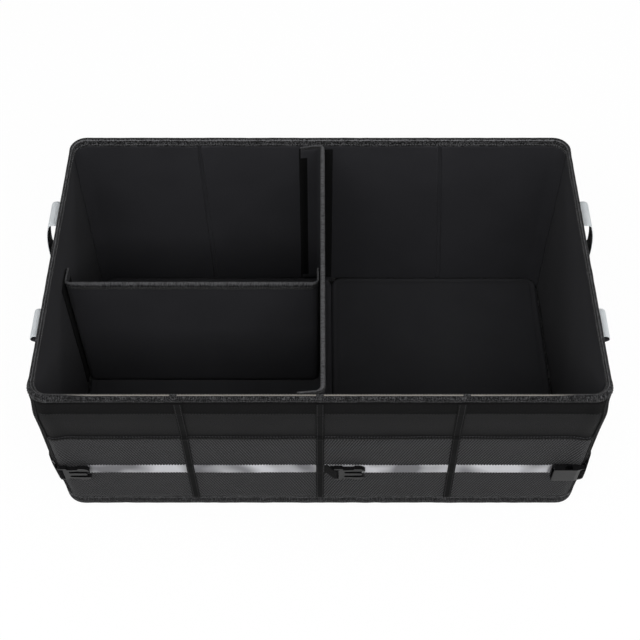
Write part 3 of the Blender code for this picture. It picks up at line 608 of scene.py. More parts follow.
POCKET_NET = net_look(
    "pocket_net", (0.008, 0.008, 0.0085), (0.050, 0.050, 0.053), NET_CELL,
    STRAIGHT_FRONT / 2 + NET_TURN)
print("net threads repeat every", round(NET_CELL * 1000, 1), "mm")

# %% [markdown]
# ## Hook-and-loop tape
#
# One half of the fastening is a nap of fine loops and the other a bed of stiff hooks. At arm's
# length both read as a dull black band with a crushed grain, so the bump is a fine noise laid over
# rows of tufts.

# %% Hook-and-loop
def grip_look(name, dark, light):
    """Rows of tufts under a crushed nap."""
    look, tree, shader = start_look(name, dark, 1.0)
    along, across, flat = cloth_axes(tree)
    tufts = sums(tree, "MULTIPLY", wave(tree, along, 0.0017), wave(tree, across, 0.0014))
    nap = cloud(tree, flat, 0.0012, 3.0)
    tint(tree, shader, sums(tree, "MULTIPLY_ADD", nap, 2.2, -0.8), dark, light)
    add_bump(tree, shader, sums(tree, "MULTIPLY_ADD", tufts, 0.3, nap), 0.0006)
    soften(shader, 0.01, 0.06)
    return look


GRIP_TAPE = grip_look("grip_tape", (0.0037, 0.0037, 0.0038), (0.0118, 0.0118, 0.0123))
# The hook tape's black also serves as painted shade on the divider flanges' tips.
HOOK_TAPE_AND_SHADE = grip_look("hook_tape", (0.0022, 0.0022, 0.0023), (0.0060, 0.0060, 0.0062))
LOOP_TAPE = grip_look("loop_tape", (0.005, 0.005, 0.0053), (0.014, 0.014, 0.0146))
print("grip tapes:", GRIP_TAPE.name, HOOK_TAPE_AND_SHADE.name, LOOP_TAPE.name)

# %% [markdown]
# ## Webbing
#
# Webbing is a thick, narrow weave whose ribs cross the strap in a shallow chevron. The straps of
# the buckles are black. The handles are pale grey on their outer face and dark grey on their inner
# one, so each handle gets two of these materials, one for each face. One helper draws them all, and
# only the colours and the roughness differ.

# %% Webbing
WEBBING_RIB = 0.0016
CHEVRON = 0.0045


def webbing_look(name, dark, light, roughness):
    """Ribs in a chevron, each made of fine yarns, and worn a little in patches."""
    look, tree, shader = start_look(name, dark, roughness)
    along, across, flat = cloth_axes(tree)
    zigzag = sums(tree, "PINGPONG", across, CHEVRON)
    slant = sums(tree, "MULTIPLY_ADD", zigzag, 0.6, along)
    ribs = upward(tree, wave(tree, slant, WEBBING_RIB))
    yarn = sums(tree, "MULTIPLY_ADD", wave(tree, across, 0.0011), 0.25, ribs)
    worn = cloud(tree, flat, 0.006, 3.0)
    tone = sums(tree, "MULTIPLY_ADD", yarn, 0.6, sums(tree, "MULTIPLY", worn, 0.4))
    tint(tree, shader, tone, dark, light)
    add_bump(tree, shader, yarn, 0.00035)
    soften(shader, 0.01, 0.08)
    return look


INNER_WEBBING = webbing_look("inner_webbing", (0.050, 0.050, 0.054), (0.080, 0.080, 0.086), 0.85)
DARK_WEBBING = webbing_look(
    "dark_webbing", (0.0030, 0.0030, 0.0032), (0.0085, 0.0085, 0.0090), 0.85)
GREY_WEBBING = webbing_look("grey_webbing", (0.60, 0.645, 0.67), (0.90, 0.93, 0.95), 0.55)
print("webbings:", INNER_WEBBING.name, DARK_WEBBING.name, GREY_WEBBING.name)

# %% [markdown]
# ## Reflective tape
#
# The stripe is a silver film of tiny glass beads. It is brighter than the cloth by far, with a fine
# grain, pressed edges, and broad soft patches of painted highlight where the film catches the
# light. It stays below white, so the patches keep showing.

# %% Silver tape
def silver_look(name):
    """A silver film with a fine grain and broad patches of painted highlight."""
    look, tree, shader = start_look(name, (0.6, 0.6, 0.63), 0.42)
    _, _, flat = cloth_axes(tree)
    # Broad soft patches of painted highlight, where the film catches the light.
    painted_highlights = cloud(tree, flat, 0.055, 1.0)
    grain = cloud(tree, flat, 0.0009, 2.0)
    tone = sums(tree, "MULTIPLY_ADD", painted_highlights, 5.5, -2.3)
    tone = sums(tree, "MULTIPLY_ADD", grain, 0.3, tone)
    tint(tree, shader, tone, (0.16, 0.16, 0.172), (0.64, 0.64, 0.67))
    add_bump(tree, shader, grain, 0.0001)
    shader.inputs["Metallic"].default_value = 0.25
    return look


SILVER_TAPE = silver_look("silver_tape")
print("stripe finish:", SILVER_TAPE.name)

# %% [markdown]
# ## Moulded plastic and thread
#
# The buckles are moulded in black plastic with a soft gloss. A very fine spark texture from the
# mould breaks the highlights. The sewing thread is black too, as dark as the cloth, and only its
# round stitches make the seams readable. The row inside the rim is a grey thread.

# %% Plastic and thread
def moulded_look(name):
    """Black plastic with a fine grain, and a gloss that scuffs break up."""
    look, tree, shader = start_look(name, (0.006, 0.006, 0.0064), 0.25)
    shader.inputs["Specular IOR Level"].default_value = 0.26
    grain = cloud(tree, body_place(tree), 0.0005, 2.0)
    scuffs = cloud(tree, body_place(tree), 0.006, 3.0)
    rough = sums(tree, "MULTIPLY_ADD", scuffs, 0.16, 0.14)
    tree.links.new(rough, shader.inputs["Roughness"])
    add_bump(tree, shader, grain, 0.00004)
    return look


def thread_look(name, colour):
    """Sewing thread, whose twist makes it a little darker and lighter along its length."""
    look, tree, shader = start_look(name, colour, 0.7)
    twist = cloud(tree, body_place(tree), 0.0008, 1.0)
    tint(tree, shader, twist, tuple(c * 0.6 for c in colour), tuple(c * 1.3 for c in colour))
    return look


BUCKLE_PLASTIC = moulded_look("buckle_plastic")
BLACK_THREAD = thread_look("black_thread", (0.0058, 0.0058, 0.0061))
GREY_THREAD = thread_look("grey_thread", (0.10, 0.10, 0.104))
print("plastic and threads:", BUCKLE_PLASTIC.name, BLACK_THREAD.name, GREY_THREAD.name)

# %% [markdown]
# ## Stiffener boards
#
# The boards are sealed inside the walls. They keep their CAD shape, and only get the plain grey of
# pressed board.

# %% Finish the hidden boards
def board_look(name):
    """Pressed board with short pale and dark fibres."""
    look, tree, shader = start_look(name, (0.26, 0.245, 0.22), 0.8)
    fibres = cloud(tree, body_place(tree), 0.004, 4.0)
    tint(tree, shader, fibres, (0.22, 0.205, 0.18), (0.32, 0.30, 0.27))
    add_bump(tree, shader, fibres, 0.0002)
    return look


def finish_node(name, look):
    """Give a CAD node that keeps its shape its real material."""
    node = frame["nodes"][name]
    node.data.materials.clear()
    node.data.materials.append(look)


BOARD = board_look("stiffener_board")
board_names = sorted(name for name in frame["nodes"] if "board" in name)
for node_name in board_names:
    finish_node(node_name, BOARD)
print("boards:", len(board_names))

# %% [markdown]
# ## Outer cloth
#
# The outer cloth is pulled over the boards, so it is nearly flat, with broad hollows between the
# boards' edges and small puckers where the bindings gather it. The front and rear pieces run round
# the corners, and the rear one dips where the boards end and the wall can fold. Each is a fine
# sheet, bent along the wall and then given thickness.

# %% Sew the outer cloth
CLOTH = 0.0011
CLOTH_STEP = 0.0045
UNDER_CREST = 0.0062
FOLD_HALF = 0.0035
FOLDS = (-0.150, 0.0, 0.150)
BINDING_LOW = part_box("bottom_binding")[1].z
FRONT_BULGE, REAR_BULGE = 0.0022, 0.0017
SIDE_PULL = 0.0012
CORNER_SWELL, CORNER_SWELL_TOP = 0.0038, 0.0008
FRONT_CORNER = STRAIGHT_FRONT / 2 + QUARTER / 2
REAR_CORNER = REAR_MIDDLE - FRONT_CORNER
CORNERS = ((FRONT_CORNER, 1.0), (-FRONT_CORNER, 1.0), (REAR_CORNER, 0.3), (-REAR_CORNER, 0.3))
LEG_Y = 0.079
PATCHES = (RIGHT_MIDDLE - LEG_Y, RIGHT_MIDDLE + LEG_Y, -RIGHT_MIDDLE - LEG_Y, -RIGHT_MIDDLE + LEG_Y)
PATCH_MIDDLE = RIM_TOP - 0.030
WAVE = 0.0006
SEAM_DIP = 0.001


def window(distance, half, fade):
    """1 within half of the middle, then fading smoothly to 0 over the fade."""
    part = min(1.0, max(0.0, (abs(distance) - half) / fade))
    return (1 + math.cos(math.pi * part)) / 2


def along_gap(along, place):
    """Shortest way round the box from one place to another."""
    return (along - place + ROUND_LENGTH / 2) % ROUND_LENGTH - ROUND_LENGTH / 2


def outer_swell(along, height):
    """How far the walls stand out: under the rim at front and rear, and at the corners, which have
    no board."""
    facing = plan_point(along)[1].y
    bulge = FRONT_BULGE if facing < 0 else REAR_BULGE
    below_rim = 1.0 - window(height, 0.165, 0.045)
    wall_part = (bulge * abs(facing) - SIDE_PULL * (1.0 - abs(facing))) * below_rim
    rising = 1.0 - window(height, 0.0, 0.12)
    falling = 1.0 - window(height, 0.200, 0.035)
    corner_part = CORNER_SWELL * rising - (CORNER_SWELL - CORNER_SWELL_TOP) * falling
    near = sum(share * window(along_gap(along, place), 0.004, 0.020) for place, share in CORNERS)
    return wall_part + near * corner_part


def outer_ripple(along, height):
    """Swell of the outer cloth with its small waves, which lie flat under the handle patches."""
    broad = hollows(along, height, 0.085, 3.1)
    gathered = hollows(along, height * 0.3, 0.011, 7.7)
    near_rim = math.exp(-max(0.0, RIM_FOOT - height) / 0.012)
    near_foot = math.exp(-max(0.0, height - BINDING_LOW) / 0.010)
    tight = 1.0 - 0.8 * window(RIM_TOP - height, 0.010, 0.025)
    waves = WAVE * broad * tight + WAVE * gathered * max(near_rim * tight, near_foot)
    pressed = max(window(along_gap(along, place), 0.020, 0.008) for place in PATCHES)
    pressed *= window(height - PATCH_MIDDLE, 0.014, 0.008)
    return outer_swell(along, height) + waves * (1.0 - pressed)


def fold_dip(across):
    """1 in the middle of a fold seam, fading to 0 at its edges."""
    return window(across, 0.0, FOLD_HALF)


def sew_outer(name, low, high, folds=()):
    """A panel of outer cloth from low to high along the wall, pressed in at its fold seams."""
    low_z, high_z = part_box(name)[0].z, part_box(name)[1].z
    fine = {m + d * 0.001 for m in folds for d in range(-5, 6)}
    alongs = sorted(set(spread(low, high, CLOTH_STEP)) | fine)
    rows = []
    for s in alongs:
        dip = sum(fold_dip(s - m) for m in folds)
        row = []
        for z in spread(low_z, high_z - UNDER_CREST, CLOTH_STEP):
            swell = outer_swell(s, z)
            off = swell + (outer_ripple(s, z) - swell) * (1 - dip) - SEAM_DIP * dip
            row.append(wall_point(s, z, off))
        rows.append(row)
    made = thicken(band("cloth_" + name, rows, OUTER_CLOTH, ring=False), CLOTH)
    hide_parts(name)
    return made


PANEL_GAP = 0.0002
turn_end = STRAIGHT_FRONT / 2 + QUARTER - PANEL_GAP
side_half = STRAIGHT_SIDE / 2 - PANEL_GAP
front_cloth = sew_outer("front_panel", -turn_end, turn_end)
rear_folds = [REAR_MIDDLE + m for m in FOLDS]
sew_outer("rear_panel", REAR_MIDDLE - turn_end, REAR_MIDDLE + turn_end, rear_folds)
sew_outer("right_panel", RIGHT_MIDDLE - side_half, RIGHT_MIDDLE + side_half)
sew_outer("left_panel", -RIGHT_MIDDLE - side_half, -RIGHT_MIDDLE + side_half)
print("outer cloth:", len(front_cloth.data.vertices), "points in front")

# %% [markdown]
# ## Lining
#
# The lining shows on the inside. It is a thinner, smoother cloth, sewn through to the outer one at
# the fold seams, so a sharp valley runs down each seam with small puckers beside it. Between the
# seams it lies on the boards with only faint hollows, deeper toward the floor where nothing pulls
# on it.

# %% Sew the lining
LINING = 0.0009
SEAM_DEPTH = 0.0005
RIDGE = 0.0019
SEAM_FLAT, SEAM_FADE = 0.0017, 0.0014
FINE_STEP = 0.0008
SEAM_ROWS = (-0.0015, 0.0015)
CORNER_FILL = 0.0030
SEAMS_FRONT = ((-0.150, -0.150), (0.0, 0.0), (0.150, 0.150))
SEAMS_REAR = ((-0.161, -0.144), (0.0, 0.0), (0.141, 0.146))
STRIPS = ((0.0, 0.04), (REAR_MIDDLE, 0.04), (-RIGHT_MIDDLE, 0.03))


def lining_ripple(along, height):
    """Inward swell of the lining, which is held flat where the grip strips are sewn to it."""
    broad = hollows(along, height, 0.11, 11.3)
    slack = hollows(along * 1.3, height, 0.05, 5.9)
    low_down = 1.0 - min(1.0, height / 0.2)
    held = max(window(along_gap(along, place), half, 0.02) for place, half in STRIPS)
    near = max(window(along_gap(along, place), 0.0, 0.030) for place, _ in CORNERS)
    fullness = CORNER_FILL * (0.3 + 0.7 * window(height, 0.06, 0.16))
    return (0.0007 * broad + 0.0012 * slack * low_down) * (1.0 - held) + near * fullness


def seam_place(seam, height):
    """Where a fold seam runs at a height, from its place at the floor to its place at the rim."""
    return seam[0] + (seam[1] - seam[0]) * height / RIM_TOP


def lining_off(along, height, seams):
    """The lining's face: a narrow valley at each seam with a soft ridge on both sides."""
    valley, ridge = 0.0, 0.0
    for seam in seams:
        away = abs(along - seam_place(seam, height))
        valley += window(away, SEAM_FLAT, SEAM_FADE)
        ridge += math.exp(-away / 0.009) * (1.0 + 0.35 * ripple(seam[0], height, 0.011, 2.2))
    return -WALL - lining_ripple(along, height) - RIDGE * ridge * (1 - valley) + SEAM_DEPTH * valley


def sew_lining(name, low, high, seams=()):
    """A panel of lining from low to high along the wall. The sheet is finer where a seam runs."""
    low_z, high_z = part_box(name)[0].z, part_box(name)[1].z
    fine = set()
    for seam in seams:
        fine |= {end + step * FINE_STEP for end in (min(seam), max(seam)) for step in range(-6, 7)}
        fine |= set(spread(min(seam), max(seam), FINE_STEP))
    alongs = sorted(set(spread(low, high, CLOTH_STEP)) | fine)
    heights = spread(low_z, high_z - UNDER_CREST, CLOTH_STEP)
    rows = [[wall_point(s, z, lining_off(s, z, seams)) for z in heights] for s in alongs]
    made = thicken(band("cloth_" + name, rows, LINING_CLOTH, ring=False), LINING, 1.0)
    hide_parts(name)


rear_seams = [(REAR_MIDDLE + foot, REAR_MIDDLE + top) for foot, top in SEAMS_REAR]
sew_lining("front_lining", -turn_end, turn_end, SEAMS_FRONT)
sew_lining("rear_lining", REAR_MIDDLE - turn_end, REAR_MIDDLE + turn_end, rear_seams)
sew_lining("right_lining", RIGHT_MIDDLE - side_half, RIGHT_MIDDLE + side_half)
sew_lining("left_lining", -RIGHT_MIDDLE - side_half, -RIGHT_MIDDLE + side_half)
seam_heights = spread(0.004, RIM_TOP - 0.009, 0.006)
for number, seam in enumerate(rear_seams + list(SEAMS_FRONT), 1):
    for side_name, beside in zip("ab", SEAM_ROWS):
        wall_stitches("fold_seam_stitches_{}{}".format(number, side_name),
                      [seam_place(seam, z) + beside for z in seam_heights], seam_heights,
                      lambda s, z: -WALL + SEAM_DEPTH, BLACK_THREAD, -1.0)
print("lining face is", round(WALL * 1000, 1), "mm inside the outer cloth")

# %% [markdown]
# ## Rim and foot bindings
#
# A folded tape closes the top edge all round. On the real box it is soft: its legs wander up and
# down a little, it swells between stitches, and its top is round. Its section is an upside-down U,
# carried once round the box. The tape at the foot is an L that turns under the outer cloth.

# %% Bind the rim and the foot
RIM_STEP = 0.004
RIM_TAPE = 0.0011
OUTER_LEG, INNER_LEG = 0.0085, 0.0080
SHOULDER_DROP = 0.0036
FRONT_DIP = 0.0018
ARCH_STEPS = 10


def outer_face(along, height, swell):
    """The tape's outer leg, on the outer cloth."""
    return outer_ripple(along, height) + RIM_TAPE + swell


def inner_face(along, height, swell):
    """The tape's inner leg: over the lining at its foot, and pinched toward the board under the
    crest."""
    pinched = window(RIM_TOP - height, 0.0045, 0.0035)
    return -WALL - (lining_ripple(along, height) + RIM_TAPE + swell) * (1.0 - pinched)


def rim_section(along, swell, sag):
    """The folded tape as (off the outer cloth, height): up the outer leg, over the crest, down the
    inner leg."""
    outer_foot, inner_foot = RIM_TOP - OUTER_LEG + sag, RIM_TOP - INNER_LEG + sag
    shoulder = RIM_TOP - SHOULDER_DROP
    dip = FRONT_DIP * window(along_gap(along, 0.0), STRAIGHT_FRONT / 2 - 0.05, 0.05)
    stand = outer_swell(along, shoulder)
    crest_out = stand + 0.0006 + swell
    crest_in = -WALL + 0.0003 + 0.5 * max(0.0, stand) + 0.6 * dip
    middle, half = (crest_out + crest_in) / 2, (crest_out - crest_in) / 2
    legs_out = [(outer_face(along, outer_foot, swell) - 0.0004, outer_foot)]
    for z in (outer_foot + 0.0005, outer_foot + 0.0017, shoulder - 0.0012):
        legs_out.append((outer_face(along, z, swell), z))
    crest = []
    for i in range(ARCH_STEPS + 1):
        angle = math.pi * i / ARCH_STEPS
        wide = math.copysign(abs(math.cos(angle)) ** 0.9, math.cos(angle))
        rise = SHOULDER_DROP * math.sin(angle) ** 0.9
        crest.append((middle + half * wide, shoulder + rise + sag * 0.3 - dip))
    inner_heights = (shoulder - 0.0018, inner_foot + 0.0020, inner_foot + 0.0005)
    legs_in = [(inner_face(along, z, swell), z) for z in inner_heights]
    legs_in.append((inner_face(along, inner_foot, swell) + 0.0004, inner_foot))
    hidden = [(-WALL, inner_foot), (middle - 0.0005, shoulder), (middle + 0.0005, shoulder)]
    return legs_out + crest + legs_in + hidden + [(outer_ripple(along, outer_foot), outer_foot)]


def round_spot(along):
    """A place on a circle as long as the line round the box, so that noise read there closes on
    itself."""
    angle = 2 * math.pi * along / ROUND_LENGTH
    return Vector((math.cos(angle), math.sin(angle), 0.0)) * ROUND_LENGTH / (2 * math.pi)


SEAM_RISE = 0.0022
rim_alongs = spread(0.0, ROUND_LENGTH, RIM_STEP)[:-1]
rim_rows, outside_seam, inside_seam, outward = [], [], [], []
for s in rim_alongs:
    spot = round_spot(s)
    swell = 0.0003 * noise.noise(spot / 0.010) + 0.0002
    sag = 0.0008 * noise.noise(spot / 0.035 + Vector((0, 0, 4.0)))
    sag += 0.0004 * noise.noise(spot / 0.008)
    rim_rows.append([wall_point(s, z, off) for off, z in rim_section(s, swell, sag)])
    z = RIM_TOP - OUTER_LEG + sag + SEAM_RISE
    outside_seam.append(wall_point(s, z, outer_face(s, z, swell)))
    z = RIM_TOP - INNER_LEG + sag + SEAM_RISE
    inside_seam.append(wall_point(s, z, inner_face(s, z, swell)))
    outward.append(plan_point(s)[1].to_3d())
rim = band("rim_binding_tape", rim_rows, KNIT_TAPE, run_closed=True)
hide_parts("rim_binding")
stitch_row("rim_stitches_outside", outside_seam, outward, BLACK_THREAD, closed=True)
stitch_row("rim_stitches_inside", inside_seam, [-out for out in outward], GREY_THREAD, closed=True)

FOOT_TAPE = 0.0013
FOOT_TOP = BINDING_LOW + 0.0028
GROOVE = 0.0012
foot_rows = []
for s in rim_alongs:
    spot = round_spot(s)
    edge = FOOT_TOP + 0.0006 * noise.noise(spot / 0.025)
    out = 0.0020 + 0.0004 * noise.noise(spot / 0.012 + Vector((0, 0, 9.0)))
    upper = [(0.0003, edge), (out - 0.0004, edge), (out, edge - 0.0006), (out, edge - 0.0018)]
    groove = [(out - GROOVE, edge - 0.0032), (out - GROOVE, edge - 0.0058)]
    turn = [(out + 0.0002, edge - 0.0080), (out, 0.0030), (out - 0.0006, 0.0009)]
    under = [(out - 0.0020, 0.0), (-0.008, 0.0), (-0.008, FOOT_TAPE), (0.0003, FOOT_TAPE)]
    section = upper + groove + turn + under
    foot_rows.append([wall_point(s, z, a) for a, z in section])
foot = band("foot_binding_tape", foot_rows, FOOT_KNIT, run_closed=True)
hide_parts("bottom_binding")

foot_seam = [FOOT_TOP - 0.0045] * len(rim_alongs)
wall_stitches("foot_stitches", rim_alongs, foot_seam, lambda s, z: 0.0022 - GROOVE, BLACK_THREAD)
print("rim rows:", len(rim_rows))

# %% [markdown]
# ## Floor
#
# The floor panel is the flat cloth underneath, and two padded boards lie on it. Each pad is a thin
# slab with soft edges and a sewn border: the thread pulls the cover down into a shallow channel
# near the edge, and the middle stays slightly crowned. It is drawn as rows of points that lie close
# together near the edges, where the form turns, and its corners are drawn in to a radius.

# %% Lay the floor cloth and the pads
EDGE_STEPS = (
    0.0, 0.0006, 0.0018, 0.0035, 0.0052, 0.0068, 0.0080, 0.0090, 0.0100, 0.0112, 0.0130, 0.0160)
PAD_RADIUS = 0.014
PAD_ROUND = 0.0030
BORDER = 0.0068
CHANNEL = 0.0005


def graded(low, high):
    """Positions from low to high, close together at both edges."""
    inner = spread(low + EDGE_STEPS[-1], high - EDGE_STEPS[-1], 0.007)[1:-1]
    return [low + e for e in EDGE_STEPS] + inner + [high - e for e in reversed(EDGE_STEPS)]


def flat_piece(name, low, high, radius, top, under, look):
    """A closed slab whose corners are drawn in to a radius. top and under give heights from (x, y,
    edge)."""
    middle_x, middle_y = (low.x + high.x) / 2, (low.y + high.y) / 2
    rows = []
    for y in graded(low.y, high.y):
        upper, lower = [], []
        for x in graded(low.x, high.x):
            edge = min(x - low.x, high.x - x, y - low.y, high.y - y)
            in_x = max(radius - (x - low.x), radius - (high.x - x), 0.0)
            in_y = max(radius - (y - low.y), radius - (high.y - y), 0.0)
            shift_x = shift_y = 0.0
            if in_x > 0 and in_y > 0:
                pull = 1.0 - max(in_x, in_y) / math.hypot(in_x, in_y)
                shift_x = math.copysign(in_x * pull, middle_x - x)
                shift_y = math.copysign(in_y * pull, middle_y - y)
            upper.append(Vector((x + shift_x, y + shift_y, top(x, y, edge))))
            lower.append(Vector((x + shift_x, y + shift_y, under(x, y, edge))))
        rows.append(upper + lower[::-1])
    return band(name, rows, look)


def sew_pad(name):
    """A floor board in its padded cover, and the row of stitches round its border."""
    low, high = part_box(name)
    middle_z, half = (low.z + high.z) / 2, (high.z - low.z) / 2

    def shoulder(edge):
        """Half the pad's thickness at a distance from its edge."""
        return half * math.sqrt(max(0.0, 1.0 - (1.0 - min(1.0, edge / PAD_ROUND)) ** 2))

    def top(x, y, edge):
        channel = CHANNEL * math.exp(-(((edge - BORDER) / 0.0019) ** 2))
        crown = 0.0007 * hollows(x, y, 0.07, 8.8) * min(1.0, edge / 0.03)
        return middle_z + shoulder(edge) - channel + crown

    def under(x, y, edge):
        return middle_z - shoulder(edge)

    made = flat_piece("cover_" + name, low, high, PAD_RADIUS, top, under, PAD_CLOTH)
    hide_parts(name)
    seam = pad_border(low, high, high.z - CHANNEL)
    stitch_row(name + "_stitches", seam, [Vector((0, 0, 1))] * len(seam), BLACK_THREAD, closed=True)


def pad_border(low, high, z):
    """Points along the channel of a pad: a rounded rectangle inside its edge."""
    turn = PAD_RADIUS - BORDER
    points = []
    corners = ((high.x, low.y, -90), (high.x, high.y, 0), (low.x, high.y, 90), (low.x, low.y, 180))
    for x, y, start in corners:
        center_x = x - math.copysign(PAD_RADIUS, x - (low.x + high.x) / 2)
        center_y = y - math.copysign(PAD_RADIUS, y - (low.y + high.y) / 2)
        for i in range(5):
            angle = math.radians(start + 22.5 * i)
            arm_x, arm_y = turn * math.cos(angle), turn * math.sin(angle)
            points.append(Vector((center_x + arm_x, center_y + arm_y, z)))
    return points


for pad_name in ("base_pad_left", "base_pad_right"):
    sew_pad(pad_name)

bottom_low, bottom_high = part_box("bottom_panel")


def floor_wave(x, y, edge):
    """The floor cloth is flat at its edge, with faint waves further in."""
    return 0.0002 * ripple(x, y, 0.05, 6.1) * min(1.0, edge / 0.02)


bottom_cloth = flat_piece(
    "cloth_bottom_panel", bottom_low, bottom_high, CORNER,
    lambda x, y, edge: bottom_high.z + floor_wave(x, y, edge),
    lambda x, y, edge: bottom_low.z + floor_wave(x, y, edge), OUTER_CLOTH)
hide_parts("bottom_panel")

# %% [markdown]
# ## Dividers
#
# Each divider is one stiff panel in a cloth cover. Its ends turn the corner in a soft bend and
# become flanges, which hook onto the walls. The cover is plumper in the middle of the panel, and
# the flanges are cloth alone, so they are thinner. The piece is one closed section carried along
# that bent path.

# %% Draw the bent path of a divider
DIVIDER = 0.003
BEND = 0.0065
BEND_PARTS = 8
FLANGE_CLOTH = 0.0008


def bent_path(start, end, way, reach):
    """Spots as (place, heading, how much flange). way points along the flanges, from the corner to
    the tip."""
    ahead = (end - start).normalized()
    flange = spread(BEND, reach, 0.005)
    spots = [(start + way * u, -way, 1.0) for u in reversed(flange)]
    for i in range(1, BEND_PARTS):
        angle = math.pi / 2 * i / BEND_PARTS
        turned = math.cos(angle) * ahead + math.sin(angle) * way
        place = start + BEND * (way + ahead) - BEND * turned
        spots.append((place, math.sin(angle) * ahead - math.cos(angle) * way, 1 - i / BEND_PARTS))
    between = spread(BEND, (end - start).length - BEND, 0.006)
    spots += [(start + ahead * u, ahead, 0.0) for u in between]
    for i in range(1, BEND_PARTS):
        angle = math.pi / 2 * i / BEND_PARTS
        turned = math.sin(angle) * ahead - math.cos(angle) * way
        place = end + BEND * (way - ahead) + BEND * turned
        spots.append((place, math.cos(angle) * ahead + math.sin(angle) * way, i / BEND_PARTS))
    return spots + [(end + way * u, way, 1.0) for u in flange]


def inner_sides(spots, way, ahead):
    """The direction from the divider's middle to the side its flanges turn to, at every spot."""
    turn = 1.0 if Vector((ahead.y, -ahead.x)).dot(way) > 0 else -1.0
    return [Vector((heading.y, -heading.x)) * turn for _, heading, _ in spots]


def stood_up(flat, height, lean_from):
    """Raise a plan point to a height, tipping it with the leaning walls where lean_from is
    given."""
    lean = max(-1.0, min(1.0, flat.y / lean_from)) if lean_from else 0.0
    return Vector((flat.x, flat.y + lean * TILT * height, height))


print("a divider is", DIVIDER * 1000, "mm thick and turns in", BEND * 1000, "mm")

# %% [markdown]
# ## Covers and bindings of the dividers
#
# The cover is one bag from floor to top, and a knit tape folded over its top edge closes it, with a
# row of stitches on each face. Toward the tips of the flanges the cloth droops a little and the
# tape gets thinner. The cover and the tape are drawn together, station by station along the bent
# path, so that the tape always fits over the cover. The tips show the black grip strip that is sewn
# there, as faces of the cover with a second material; this black band is also painted shade along
# each flange's free edge.

# %% Sew a divider and its binding
DIVIDER_TAPE = 0.0007
FLANGE_TAPE = 0.0004
DIVIDER_LEG = 0.009
FLANGE_LEG = 0.0040
FLANGE_DROOP = 0.005
DROOP_SPOTS = 8
HEIGHT_STEPS = 28
ARCH_PARTS = 8
GRIP_SHADE_COLUMNS = 2


def tape_arch(outside, inside, top):
    """The rounded top of a folded tape, from its outer face over to its inner face."""
    middle, half = (outside + inside) / 2, (inside - outside) / 2
    arch = []
    for i in range(ARCH_PARTS + 1):
        angle = math.pi * i / ARCH_PARTS
        arch.append((middle - half * math.cos(angle), top - half * 0.55 * (1 - math.sin(angle))))
    return arch


def show_grip_and_shade_tips(body, stations, ring):
    """Give the faces at both tips of a cover the grip strip's black material, on one side only: the
    grip strip, and painted shade along the flange's free edge.
    """
    body.data.materials.append(HOOK_TAPE_AND_SHADE)
    for number, face in enumerate(body.data.polygons[:(stations - 1) * ring]):
        column, step = number // ring, number % ring - HEIGHT_STEPS - 1
        at_tip = min(column, stations - 2 - column) < GRIP_SHADE_COLUMNS
        if at_tip and 2 <= step < HEIGHT_STEPS - 1:
            face.material_index = 1


def sew_divider(name, spots, sides, lean_from, seed):
    """The cover, its edge tape and two rows of stitches. near and far are the faces' places beside
    the path."""
    low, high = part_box(name)[0].z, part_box(name)[1].z
    tape_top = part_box(name + "_binding")[1].z
    cover, tape, seams = [], [], {1: ([], []), -1: ([], [])}
    for number, ((place, heading, share), side) in enumerate(zip(spots, sides)):
        near, far = -DIVIDER / 2, -DIVIDER / 2 + DIVIDER * (1 - share) + FLANGE_CLOTH * share
        from_tip = min(number, len(spots) - 1 - number)
        droop = FLANGE_DROOP * max(0.0, 1.0 - from_tip / DROOP_SPOTS)
        heights = shared_out(low, high - droop, HEIGHT_STEPS)
        row = []
        for face, order in ((near, heights), (far, heights[::-1])):
            for z in order:
                plump = 0.0004 * hollows(number * 0.006, z, 0.06, seed) * (1 - share)
                off = face + math.copysign(plump, face - (near + far) / 2)
                row.append(stood_up(place + side * off, z, lean_from))
        cover.append(row)
        wander = 0.0007 * ripple(number * 0.006, 0.0, 0.02, seed + 5)
        swell = 0.0002 * ripple(number * 0.006, 0.0, 0.009, seed + 9)
        tape_thick = DIVIDER_TAPE * (1 - share) + FLANGE_TAPE * share
        a, b = near - 0.0002 - tape_thick - swell, far + 0.0002 + tape_thick + swell
        top = tape_top - droop
        leg = top - DIVIDER_LEG * (1 - share) - FLANGE_LEG * share + wander * (1 - share)
        section = [(a, leg)] + tape_arch(a, b, top) + [(b, leg), (b - tape_thick, leg)]
        section += [(b - tape_thick, top - 0.0018), (a + tape_thick, top - 0.0018)]
        section.append((a + tape_thick, leg))
        tape.append([stood_up(place + side * u, z, lean_from) for u, z in section])
        for facing, u in ((1, b + 0.0001), (-1, a - 0.0001)):
            seams[facing][0].append(stood_up(place + side * u, leg + 0.0022, lean_from))
            seams[facing][1].append(Vector((side.x * facing, side.y * facing, 0.0)))
    body = band("cover_" + name, cover, LINING_CLOTH)
    # Black tips: the grip strip, and painted shade along the flanges' free edges.
    show_grip_and_shade_tips(body, len(cover), len(cover[0]))
    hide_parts(name)
    edge = band(name + "_edge_tape", tape, LIT_DIVIDER_KNIT)
    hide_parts(name + "_binding")
    for facing, (points, normals) in seams.items():
        row_name = name + ("_stitches_inner" if facing > 0 else "_stitches_outer")
        stitch_row(row_name, points, normals, BLACK_THREAD)


center_low, center_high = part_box("center_divider")
center_x = center_high.x - DIVIDER / 2
flange_y = center_high.y - TILT * center_high.z - DIVIDER / 2
LEFTWARD = Vector((-1.0, 0.0))
TO_FRONT = Vector((0.0, -1.0))
center_ends = Vector((center_x, flange_y)), Vector((center_x, -flange_y))
center_spots = bent_path(*center_ends, LEFTWARD, center_x - center_low.x)
center_sides = inner_sides(center_spots, LEFTWARD, TO_FRONT)
sew_divider("center_divider", center_spots, center_sides, flange_y - BEND, 21.0)

